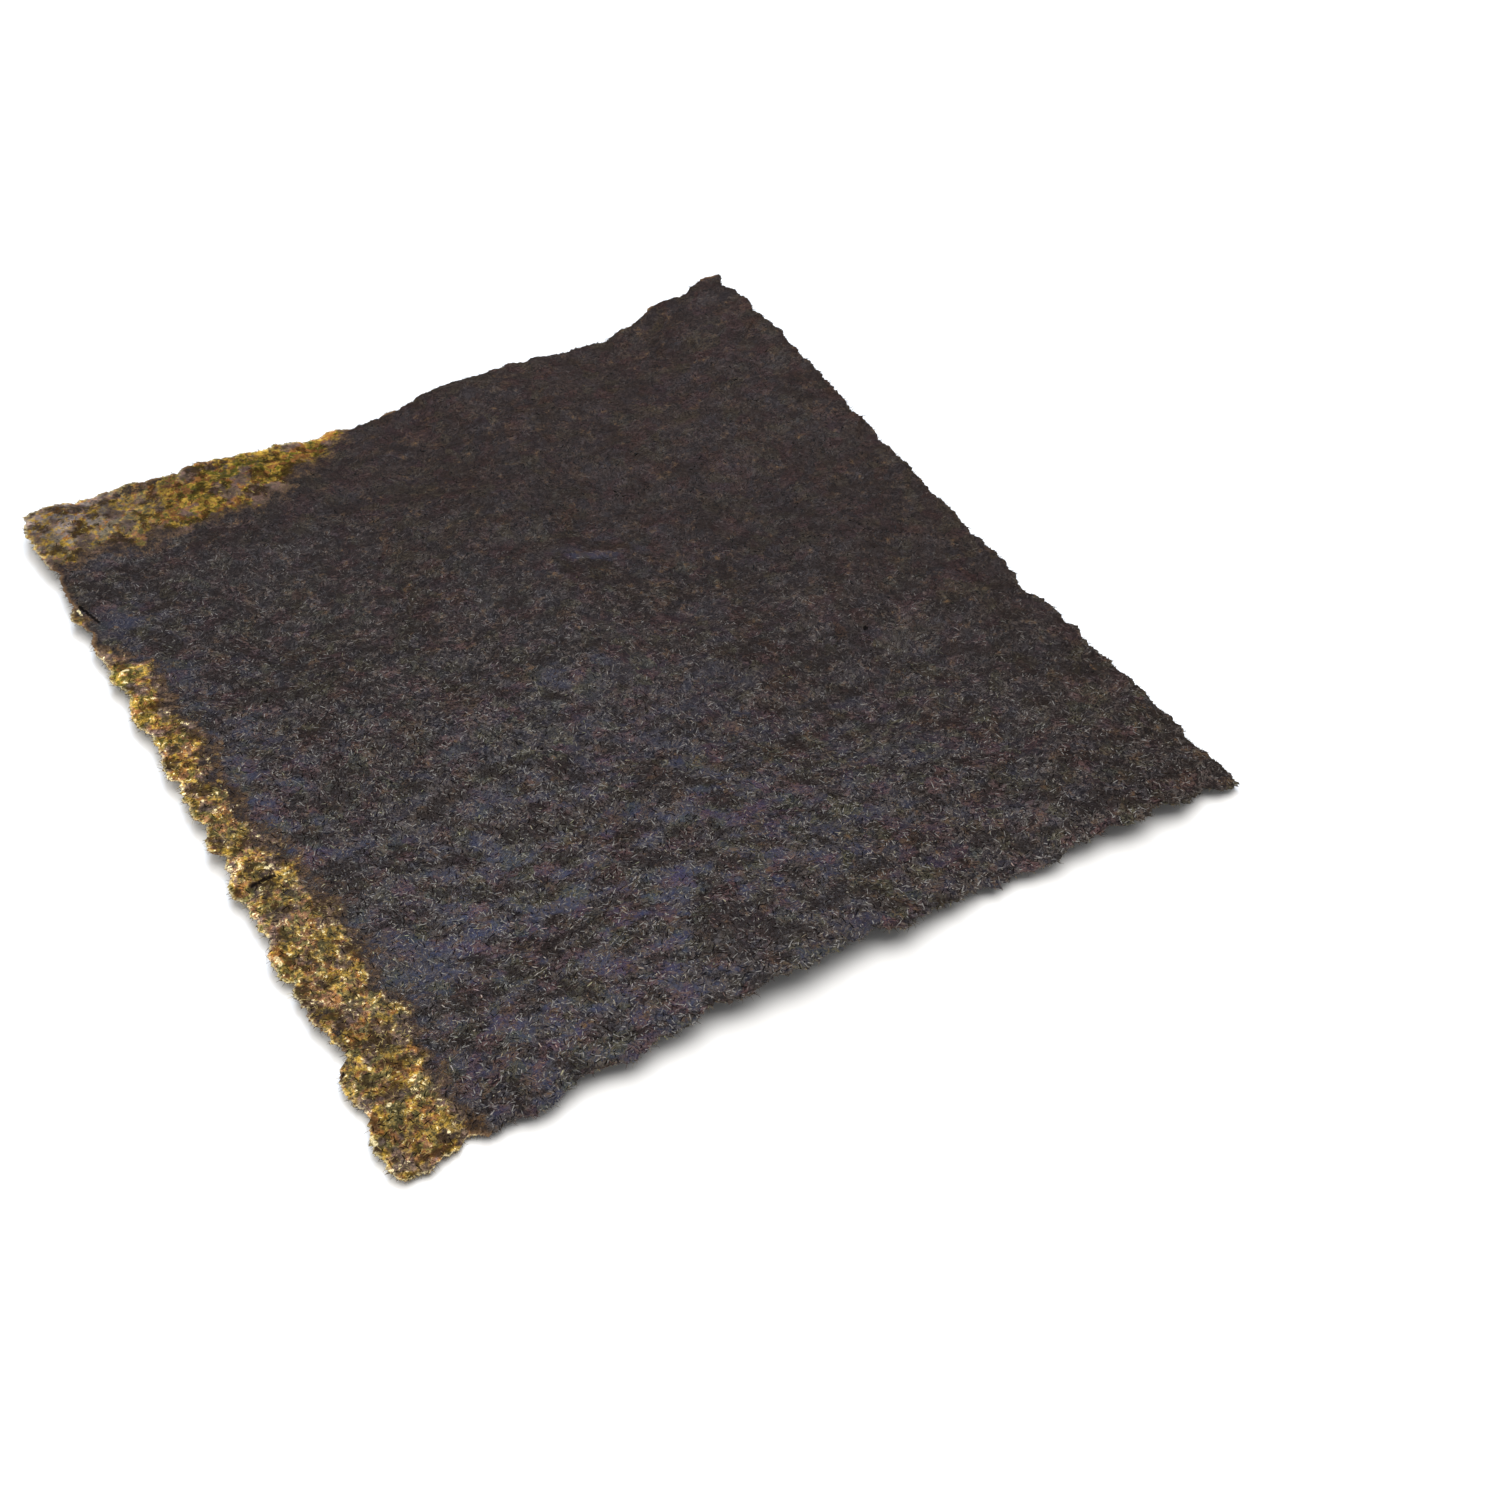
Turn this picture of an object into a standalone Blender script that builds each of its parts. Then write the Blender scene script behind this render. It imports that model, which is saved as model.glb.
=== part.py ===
"""A sheet of nori: one dry pressed seaweed leaf that lies loose on its lower waves.

Units are metres and +Z is up. The short sides run along X and the long sides along Y.
The origin is at the middle of the footprint, on the surface that the leaf rests on.
The leaf is one closed solid. Its two faces carry the same triangles, one leaf thickness apart.
"""

from collections import namedtuple

import bpy
import numpy as np
from mathutils.geometry import delaunay_2d_cdt

# Driving dimensions of a full sheet.
SHEET_WIDTH = 0.190
SHEET_LENGTH = 0.210
LEAF_THICKNESS = 0.0003

# Height of the resting body of the leaf over its support, before the waves.
FLOAT_HEIGHT = 0.0034

# Spacing of the points round the torn rim and inside it.
RIM_SPACING = 0.0016
INNER_SPACING = 0.0047
RIM_CLEARANCE = 0.0031

# Colour and finish of dark laver, in linear values.
LEAF_COLOUR = (0.045, 0.034, 0.036, 1.0)
LEAF_ROUGHNESS = 0.55

# One side of the sheet: its corners as signs of the half sizes, its outward direction, and how
# far it stands out from the straight line at its start, its middle and its end.
Side = namedtuple("Side", "name start end outward start_reach middle_reach end_reach")
SIDES = (
    Side("front", (-1, -1), (1, -1), (0, -1), 0.0004, -0.0012, 0.0014),
    Side("right", (1, -1), (1, 1), (1, 0), -0.0003, -0.0002, 0.0006),
    Side("back", (1, 1), (-1, 1), (0, 1), 0.0014, -0.0007, 0.0008),
    Side("left", (-1, 1), (-1, -1), (-1, 0), 0.0015, 0.0000, 0.0013),
)

# A bay is a bite out of a side: the place of its middle along the side, its depth and half width.
Bay = namedtuple("Bay", "side middle depth half_width")
BAYS = (
    Bay("front", 0.0145, 0.0026, 0.0016),
    Bay("front", 0.0640, 0.0012, 0.0022),
    Bay("front", 0.1290, 0.0011, 0.0030),
    Bay("right", 0.0720, 0.0010, 0.0040),
    Bay("back", 0.0360, 0.0013, 0.0035),
    Bay("back", 0.1080, 0.0012, 0.0045),
    Bay("left", 0.0240, 0.0014, 0.0035),
    Bay("left", 0.1800, 0.0021, 0.0065),
)

# The corners are blunt by this much, over this distance along each side.
CORNER_BLUNT = 0.0008
CORNER_REACH = 0.0020

# The torn rim is a sum of sine waves. The depth is that of the longest, and shorter ones are
# shallower by this power of their length.
RIM_SEED = 19
RIM_WAVES = 40
RIM_LONGEST_WAVE = 0.030
RIM_SHORTEST_WAVE = 0.0036
RIM_DEPTH = 0.00024
RIM_DEPTH_POWER = 0.8

# A swell is a broad rise, or with a minus sign a sag: its middle, height and reach along X and Y.
Swell = namedtuple("Swell", "x y height reach_x reach_y")
SWELLS = (
    Swell(0.090, 0.083, 0.0043, 0.023, 0.038),
    Swell(-0.014, 0.105, -0.0042, 0.015, 0.030),
    Swell(0.058, 0.105, -0.0052, 0.015, 0.026),
    Swell(-0.095, 0.105, 0.0016, 0.012, 0.014),
    Swell(-0.008, -0.105, 0.0029, 0.026, 0.040),
    Swell(0.070, -0.105, 0.0026, 0.017, 0.030),
    Swell(0.037, -0.105, -0.0018, 0.009, 0.018),
    Swell(-0.086, -0.105, -0.0023, 0.014, 0.020),
    Swell(0.097, -0.105, -0.0020, 0.014, 0.020),
    Swell(0.095, -0.045, -0.0017, 0.030, 0.042),
    Swell(-0.048, -0.050, -0.0042, 0.024, 0.019),
    Swell(0.044, 0.026, -0.0044, 0.024, 0.021),
    Swell(-0.046, 0.044, -0.0040, 0.021, 0.024),
    Swell(0.034, -0.042, -0.0042, 0.021, 0.017),
)

# A crease is a soft trough along a line between two points, with its depth and half width.
Crease = namedtuple("Crease", "x0 y0 x1 y1 depth half_width")
CREASES = (
    Crease(-0.042, -0.028, -0.012, -0.066, 0.0007, 0.0042),
    Crease(-0.077, 0.078, -0.079, 0.026, 0.0006, 0.0040),
    Crease(-0.079, -0.064, -0.073, -0.092, 0.0006, 0.0040),
    Crease(-0.030, -0.071, 0.004, -0.079, 0.0005, 0.0036),
    Crease(0.014, -0.079, 0.054, -0.084, 0.0005, 0.0036),
    Crease(-0.062, -0.008, -0.040, -0.016, 0.0004, 0.0036),
)

# Long slack waves over the body of the leaf: direction in degrees, wavelength, height and phase.
SlackWave = namedtuple("SlackWave", "direction wavelength height phase")
SLACK_WAVES = (
    SlackWave(24.0, 0.058, 0.00045, 0.6),
    SlackWave(-52.0, 0.041, 0.00035, 2.1),
    SlackWave(81.0, 0.036, 0.00025, 4.0),
    SlackWave(-12.0, 0.027, 0.00018, 1.3),
)
SLACK_MARGIN = 0.022

# The crumple of the pressed leaf is a sum of many short waves in every direction.
CRUMPLE_SEED = 7
CRUMPLE_WAVES = 24
CRUMPLE_LONGEST_WAVE = 0.024
CRUMPLE_SHORTEST_WAVE = 0.010
CRUMPLE_DEPTH = 0.00005


def clear_scene():
    """Remove whatever the scene holds."""
    for thing in list(bpy.data.objects):
        bpy.data.objects.remove(thing, do_unlink=True)


def torn_rim(distance, rng):
    """Ragged offset of the rim at each distance along the whole perimeter."""
    longest = np.log(RIM_LONGEST_WAVE)
    shortest = np.log(RIM_SHORTEST_WAVE)
    wavelengths = np.exp(rng.uniform(shortest, longest, RIM_WAVES))
    phases = rng.uniform(0.0, 2.0 * np.pi, RIM_WAVES)
    depths = RIM_DEPTH * (wavelengths / RIM_LONGEST_WAVE) ** RIM_DEPTH_POWER
    angle = 2.0 * np.pi * distance[:, None] / wavelengths + phases
    return np.sin(angle) @ depths


def side_bow(side, share):
    """Parabola through a side's reach at its start, middle and end; share runs from 0 to 1."""
    from_start = 2.0 * (share - 0.5) * (share - 1.0)
    from_middle = 4.0 * share * (1.0 - share)
    from_end = 2.0 * share * (share - 0.5)
    return (
        side.start_reach * from_start
        + side.middle_reach * from_middle
        + side.end_reach * from_end
    )


def side_bays(side, along):
    """Depth of the bays at each distance along a side."""
    depth = np.zeros_like(along)
    for bay in BAYS:
        if bay.side == side.name:
            depth += bay.depth * np.exp(-0.5 * ((along - bay.middle) / bay.half_width) ** 2)
    return depth


def side_offset(side, along, length, rim):
    """Outward offset of a side from its straight line: bow, torn rim, bays and blunt corners."""
    blunt = np.exp(-along / CORNER_REACH) + np.exp(-(length - along) / CORNER_REACH)
    return side_bow(side, along / length) + rim - side_bays(side, along) - CORNER_BLUNT * blunt


def sheet_outline():
    """Points of the torn rim, anticlockwise from the front left corner."""
    rng = np.random.RandomState(RIM_SEED)
    half = np.array((SHEET_WIDTH, SHEET_LENGTH)) / 2.0
    corners = [np.array(side.start) * half for side in SIDES]
    lengths = [np.abs(np.array(side.end) - np.array(side.start)) @ half for side in SIDES]
    counts = [int(round(length / RIM_SPACING)) for length in lengths]
    starts = np.concatenate(([0.0], np.cumsum(lengths)))
    alongs = [np.linspace(0.0, length, count + 1) for length, count in zip(lengths, counts)]
    travelled = np.concatenate([start + along for start, along in zip(starts, alongs)])
    rim = np.split(torn_rim(travelled, rng), np.cumsum([len(along) for along in alongs])[:-1])
    offsets = [
        side_offset(side, along, length, ragged)
        for side, along, length, ragged in zip(SIDES, alongs, lengths, rim)
    ]
    points = []
    for number, side in enumerate(SIDES):
        before = number - 1
        after = (number + 1) % len(SIDES)
        share = (alongs[number] / lengths[number])[:, None]
        start = corners[number] + np.array(SIDES[before].outward) * offsets[before][-1]
        end = corners[after] + np.array(SIDES[after].outward) * offsets[after][0]
        line = start + (end - start) * share
        edge = line + np.array(side.outward) * offsets[number][:, None]
        points.append(edge[:-1])
    return np.concatenate(points)


def inner_points():
    """Staggered points inside the rim, clear of it."""
    row_spacing = INNER_SPACING * np.sqrt(3.0) / 2.0
    half_width = SHEET_WIDTH / 2.0 - RIM_CLEARANCE
    half_length = SHEET_LENGTH / 2.0 - RIM_CLEARANCE
    rows = int(round(2.0 * half_length / row_spacing))
    columns = int(round(2.0 * half_width / INNER_SPACING))
    ys = np.linspace(-half_length, half_length, rows + 1)
    xs = np.linspace(-half_width, half_width, columns + 1)
    shifted = (xs[:-1] + xs[1:]) / 2.0
    lines = []
    for row, y in enumerate(ys):
        line_xs = xs if row % 2 == 0 else shifted
        lines.append(np.column_stack((line_xs, np.full_like(line_xs, y))))
    return np.concatenate(lines)


def distance_to_line(points, crease):
    """Distance of each point from the stretch between a crease's two ends."""
    start = np.array((crease.x0, crease.y0))
    run = np.array((crease.x1, crease.y1)) - start
    share = np.clip((points - start) @ run / (run @ run), 0.0, 1.0)
    nearest = start + share[:, None] * run
    return np.hypot(*(points - nearest).T)


def crumple(x, y):
    """Low relief of the pressed leaf: short waves in random directions, from a seeded draw."""
    rng = np.random.RandomState(CRUMPLE_SEED)
    wavelengths = rng.uniform(CRUMPLE_SHORTEST_WAVE, CRUMPLE_LONGEST_WAVE, CRUMPLE_WAVES)
    directions = rng.uniform(0.0, np.pi, CRUMPLE_WAVES)
    phases = rng.uniform(0.0, 2.0 * np.pi, CRUMPLE_WAVES)
    travel = x[:, None] * np.cos(directions) + y[:, None] * np.sin(directions)
    return CRUMPLE_DEPTH * np.sin(2.0 * np.pi * travel / wavelengths + phases).sum(axis=1)


def leaf_height(points):
    """Height of the leaf's underside over its support; the lowest waves lie flat on it."""
    x, y = points.T
    height = np.full(len(points), FLOAT_HEIGHT)
    for swell in SWELLS:
        far = ((x - swell.x) / swell.reach_x) ** 2 + ((y - swell.y) / swell.reach_y) ** 2
        height += swell.height * np.exp(-0.5 * far)
    for crease in CREASES:
        far = distance_to_line(points, crease) / crease.half_width
        height -= crease.depth * np.exp(-0.5 * far**2)
    to_side = np.minimum(SHEET_WIDTH / 2.0 - np.abs(x), SHEET_LENGTH / 2.0 - np.abs(y))
    inside = 1.0 - np.exp(-(np.clip(to_side, 0.0, None) / SLACK_MARGIN) ** 2)
    for wave in SLACK_WAVES:
        direction = np.radians(wave.direction)
        travel = x * np.cos(direction) + y * np.sin(direction)
        angle = 2.0 * np.pi * travel / wave.wavelength + wave.phase
        height += wave.height * np.sin(angle) * inside
    height += crumple(x, y)
    return np.clip(height, 0.0, None)


def leaf_triangles(outline, inner):
    """Flat triangulation of the leaf: its points and its triangles, seen from above."""
    flat = [tuple(point) for point in np.concatenate((outline, inner))]
    rim_loop = list(range(len(outline)))
    inside_only = 1
    merge_distance = 1e-7
    result = delaunay_2d_cdt(flat, [], [rim_loop], inside_only, merge_distance)
    points = np.array([tuple(point) for point in result[0]])
    triangles = np.array([tuple(face) for face in result[2]])
    return points, triangles


def rim_edges(triangles):
    """Edges that only one triangle has, in the direction in which it runs round."""
    edges = np.concatenate((triangles[:, (0, 1)], triangles[:, (1, 2)], triangles[:, (2, 0)]))
    known = {tuple(edge) for edge in edges.tolist()}
    return np.array([(a, b) for a, b in edges.tolist() if (b, a) not in known])


def leaf_mesh():
    """The closed leaf: underside, upper side and the thin wall round its rim."""
    points, triangles = leaf_triangles(sheet_outline(), inner_points())
    count = len(points)
    under = np.column_stack((points, leaf_height(points)))
    upper = under + np.array((0.0, 0.0, LEAF_THICKNESS))
    rim = rim_edges(triangles)
    wall_low = np.column_stack((rim[:, 0], rim[:, 1], rim[:, 1] + count))
    wall_high = np.column_stack((rim[:, 0], rim[:, 1] + count, rim[:, 0] + count))
    faces = np.concatenate((triangles[:, ::-1], triangles + count, wall_low, wall_high))
    vertices = np.concatenate((under, upper))
    footprint_middle = (vertices.min(axis=0) + vertices.max(axis=0)) / 2.0
    vertices[:, :2] -= footprint_middle[:2]
    mesh = bpy.data.meshes.new("nori_sheet")
    mesh.from_pydata(vertices.tolist(), [], faces.tolist())
    mesh.validate()
    mesh.shade_smooth()
    return mesh


def laver_material():
    """Dark purple-brown dry laver."""
    material = bpy.data.materials.new("dark_laver")
    material.use_nodes = True
    shader = material.node_tree.nodes["Principled BSDF"]
    shader.inputs["Base Color"].default_value = LEAF_COLOUR
    shader.inputs["Roughness"].default_value = LEAF_ROUGHNESS
    shader.inputs["Metallic"].default_value = 0.0
    return material


def build_sheet():
    """Make the one leaf and put it in the scene."""
    mesh = leaf_mesh()
    mesh.materials.append(laver_material())
    sheet = bpy.data.objects.new("nori_sheet", mesh)
    bpy.context.scene.collection.objects.link(sheet)
    return sheet


clear_scene()
build_sheet()
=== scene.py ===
"""The visible surface of one sheet of nori, worked out over its rigid leaf.

All sizes are metres in the leaf's own frame: X runs along the short sides, Y along the long sides,
+Z is up and the leaf lies on Z = 0. Front is -Y and left is -X.
"""

import logging
import math
from dataclasses import dataclass, field
from enum import Enum

import bpy
import numpy as np
from mathutils import Matrix, Vector


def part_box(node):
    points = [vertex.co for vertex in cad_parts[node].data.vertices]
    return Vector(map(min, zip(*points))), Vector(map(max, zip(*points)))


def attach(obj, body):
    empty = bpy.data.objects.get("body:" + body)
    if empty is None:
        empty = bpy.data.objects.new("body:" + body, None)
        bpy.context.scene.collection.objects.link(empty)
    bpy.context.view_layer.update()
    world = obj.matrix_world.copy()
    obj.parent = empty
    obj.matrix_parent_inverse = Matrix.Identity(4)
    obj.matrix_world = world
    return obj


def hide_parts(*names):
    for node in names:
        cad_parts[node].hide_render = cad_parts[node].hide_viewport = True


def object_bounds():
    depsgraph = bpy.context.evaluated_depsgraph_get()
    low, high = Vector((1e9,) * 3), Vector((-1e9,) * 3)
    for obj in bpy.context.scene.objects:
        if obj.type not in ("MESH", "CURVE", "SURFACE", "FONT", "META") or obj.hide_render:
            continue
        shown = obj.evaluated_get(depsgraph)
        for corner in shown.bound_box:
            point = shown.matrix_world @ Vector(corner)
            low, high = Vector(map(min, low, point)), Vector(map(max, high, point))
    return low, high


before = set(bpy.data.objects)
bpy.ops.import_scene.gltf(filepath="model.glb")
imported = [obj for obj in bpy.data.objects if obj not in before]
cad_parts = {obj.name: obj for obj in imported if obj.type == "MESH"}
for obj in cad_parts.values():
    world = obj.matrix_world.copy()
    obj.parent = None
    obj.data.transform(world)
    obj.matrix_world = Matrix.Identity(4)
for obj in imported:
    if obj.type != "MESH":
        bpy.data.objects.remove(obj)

LOG = logging.getLogger("nori")
NODE = "nori_sheet"
BODY = "root"
MM = 0.001
ALL_SMOOTH = 180.0
CAD_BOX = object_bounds()

Colour = tuple[float, float, float, float]


class Face(Enum):
    """The two faces of the leaf."""

    UPPER = "upper"
    UNDER = "under"


class SideName(Enum):
    """The four sides of the sheet."""

    FRONT = "front"
    RIGHT = "right"
    BACK = "back"
    LEFT = "left"


# ---- Shapes over the plane. Each gives one value at every point, for arrays of X and Y. ----


def smooth_step(value: np.ndarray, low: float, high: float) -> np.ndarray:
    """Share from 0 at low to 1 at high, with a soft start and end."""
    share = np.clip((value - low) / (high - low), 0.0, 1.0)
    return share * share * (3.0 - 2.0 * share)


def turned(x: np.ndarray, y: np.ndarray, degrees: float) -> tuple[np.ndarray, np.ndarray]:
    """Way along and way across a direction, which is given from X."""
    turn = math.radians(degrees)
    return x * math.cos(turn) + y * math.sin(turn), y * math.cos(turn) - x * math.sin(turn)


@dataclass(frozen=True)
class GradientNoise:
    """Smooth noise over the plane, about -0.7 to 0.7, with one random slope at each lattice point.

    At a point, the slopes of the four lattice points round it are each multiplied by the way to
    that lattice point, and the four products are blended by a smooth step in X and in Y.
    """

    seed: int
    cell: float
    lattice: int = 256

    def at(self, x: np.ndarray, y: np.ndarray) -> np.ndarray:
        """Noise at each point.

        Args:
            x: X of the points.
            y: Y of the points.

        Returns:
            One value for each point.
        """
        angle = np.random.RandomState(self.seed).uniform(0.0, 2.0 * np.pi, (self.lattice,) * 2)
        u, v = (part / self.cell + self.lattice / 2.0 for part in (x, y))
        i, j = (np.floor(part).astype(int) for part in (u, v))
        du, dv = (u - i, v - j)
        blend_u, blend_v = (way**3 * (way * (way * 6.0 - 15.0) + 10.0) for way in (du, dv))

        def pull(step_i: int, step_j: int) -> np.ndarray:
            """Slope of one lattice corner times the way to it."""
            turn = angle[(i + step_i) % self.lattice, (j + step_j) % self.lattice]
            return np.cos(turn) * (du - step_i) + np.sin(turn) * (dv - step_j)

        near = pull(0, 0) * (1.0 - blend_u) + pull(1, 0) * blend_u
        far = pull(0, 1) * (1.0 - blend_u) + pull(1, 1) * blend_u
        return near * (1.0 - blend_v) + far * blend_v


@dataclass(frozen=True)
class Swell:
    """A broad rise, or with a minus sign a sag: its middle, height and reach along X and Y."""

    x: float
    y: float
    height: float
    reach_x: float
    reach_y: float

    def at(self, x: np.ndarray, y: np.ndarray) -> np.ndarray:
        """Height at each point: a bell curve of the way from the middle."""
        far = ((x - self.x) / self.reach_x) ** 2 + ((y - self.y) / self.reach_y) ** 2
        return self.height * np.exp(-0.5 * far)


@dataclass(frozen=True)
class Crease:
    """A soft trough along a line between two points, or with a minus sign a ridge."""

    x0: float
    y0: float
    x1: float
    y1: float
    depth: float
    half_width: float

    def at(self, x: np.ndarray, y: np.ndarray) -> np.ndarray:
        """Depth at each point: a bell curve of the distance to the line.

        Args:
            x: X of the points.
            y: Y of the points.

        Returns:
            One value for each point.
        """
        way = np.column_stack((x - self.x0, y - self.y0))
        run = np.array((self.x1 - self.x0, self.y1 - self.y0))
        share = np.clip(way @ run / (run @ run), 0.0, 1.0)
        gap = np.hypot(*(way - share[:, None] * run).T)
        return self.depth * np.exp(-0.5 * (gap / self.half_width) ** 2)


@dataclass(frozen=True)
class SlackWave:
    """A sine wave: its direction in degrees, wavelength, height and phase."""

    direction: float
    wavelength: float
    height: float
    phase: float

    def at(self, x: np.ndarray, y: np.ndarray) -> np.ndarray:
        """Height at each point."""
        travel = turned(x, y, self.direction)[0]
        return self.height * np.sin(2.0 * np.pi * travel / self.wavelength + self.phase)


@dataclass(frozen=True)
class Ripple:
    """Noise stretched along one direction: degrees, how much longer, cell, height and seed."""

    direction: float
    stretch: float
    cell: float
    height: float
    seed: int

    def at(self, x: np.ndarray, y: np.ndarray) -> np.ndarray:
        """Height at each point: the noise with the way along the direction shortened."""
        along, across = turned(x, y, self.direction)
        return self.height * GradientNoise(self.seed, self.cell).at(along / self.stretch, across)


@dataclass(frozen=True)
class Fray:
    """Fine raggedness of the torn rim: four sizes of noise, and narrow notches and tufts.

    It is weaker along some of the perimeter, by a share that is given at stations along it. A
    notch or a tuft stands where its noise is near its peak.
    """

    seed: int = 97
    lattice: int = 1024
    cells: tuple[float, ...] = (0.0043, 0.0019, 0.0009, 0.0005)
    depths: tuple[float, ...] = (0.00028, 0.00062, 0.00080, 0.00055)
    inward: float = 0.00010
    stations: tuple[float, ...] = (0.0, 0.19, 0.20, 0.60, 0.80)
    shares: tuple[float, ...] = (0.95, 0.95, 0.60, 0.60, 0.85)
    notch_seed: int = 108
    notch_cell: float = 0.0036
    notch_depth: float = 0.0008
    tuft_seed: int = 109
    tuft_cell: float = 0.0030
    tuft_reach: float = 0.0005
    peak: tuple[float, float] = (0.22, 0.42)

    def noise(self, seed: int, cell: float, distance: np.ndarray) -> np.ndarray:
        """One of the noises, at each distance along the perimeter."""
        return GradientNoise(seed, cell, self.lattice).at(distance, np.zeros_like(distance))

    def offset(self, distance: np.ndarray) -> np.ndarray:
        """Outward offset: the sum of the noises, less the notches, plus the tufts.

        Args:
            distance: Distance along the whole perimeter.

        Returns:
            The offset at each distance.
        """
        total = np.full_like(distance, -self.inward)
        for step, (cell, depth) in enumerate(zip(self.cells, self.depths)):
            total += depth * self.noise(self.seed + step, cell, distance)
        notch = self.noise(self.notch_seed, self.notch_cell, distance)
        tuft = self.noise(self.tuft_seed, self.tuft_cell, distance)
        total -= self.notch_depth * smooth_step(notch, *self.peak)
        total += self.tuft_reach * smooth_step(tuft, *self.peak)
        return total * np.interp(distance, self.stations, self.shares)


@dataclass(frozen=True)
class BacklitMargin:
    """Where the leaf is painted golden with backlight, as light seen through it: a strip along the left side
    and a wedge at the back.

    The strip's width is given at stations along Y, and the wedge's front edge at stations along
    X. Both borders wander by a noise and fade over a soft width.
    """

    strip_y: tuple[float, ...] = (
        -0.105, -0.057, -0.036, -0.016, -0.001, 0.022, 0.043, 0.049, 0.055, 0.084, 0.094
    )
    strip_width: tuple[float, ...] = (
        0.0160, 0.0152, 0.0144, 0.0106, 0.0094, 0.0084, 0.0082, 0.0040, -0.0018, -0.0018, 0.0040
    )
    wedge_x: tuple[float, ...] = (-0.095, -0.048, -0.038, -0.027, -0.017, -0.007, 0.100)
    wedge_y: tuple[float, ...] = (0.0845, 0.0845, 0.0875, 0.0935, 0.1005, 0.1080, 0.1110)
    wander: float = 0.0046
    wander_cell: float = 0.0110
    ripple: float = 0.0022
    ripple_cell: float = 0.0038
    soft: float = 0.0050
    seed: int = 733

    def share(self, x: np.ndarray, y: np.ndarray, from_left: np.ndarray) -> np.ndarray:
        """Share of the margin painted golden with backlight at each point, from 0 in the body to 1.

        Args:
            x: X of the points, before the shift.
            y: Y of the points, before the shift.
            from_left: Distance of the points from the left side.

        Returns:
            The share at each point.
        """
        wander = self.wander * GradientNoise(self.seed, self.wander_cell).at(x, y)
        wander += self.ripple * GradientNoise(self.seed + 1, self.ripple_cell).at(x, y)
        into_strip = np.interp(y, self.strip_y, self.strip_width) - from_left
        into_wedge = y - np.interp(x, self.wedge_x, self.wedge_y)
        return smooth_step(np.maximum(into_strip, into_wedge) + wander, -self.soft, self.soft)


def patch_share(patches: tuple[Swell, ...], x: np.ndarray, y: np.ndarray) -> np.ndarray:
    """Share of broad soft patches at each point: their sum, at most 1."""
    return np.clip(sum(patch.at(x, y) for patch in patches), 0.0, 1.0)


# ---- Form ----


@dataclass(frozen=True)
class Side:
    """One side: its corners as signs of the half sizes, its outward direction and its bow.

    The bow is three outward reaches: at the side's start, its middle and its end.
    """

    name: SideName
    start: tuple[int, int]
    end: tuple[int, int]
    outward: tuple[int, int]
    start_reach: float
    middle_reach: float
    end_reach: float


@dataclass(frozen=True)
class Bay:
    """A bite out of a side: the place of its middle along the side, its depth and half width."""

    side: SideName
    middle: float
    depth: float
    half_width: float


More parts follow.
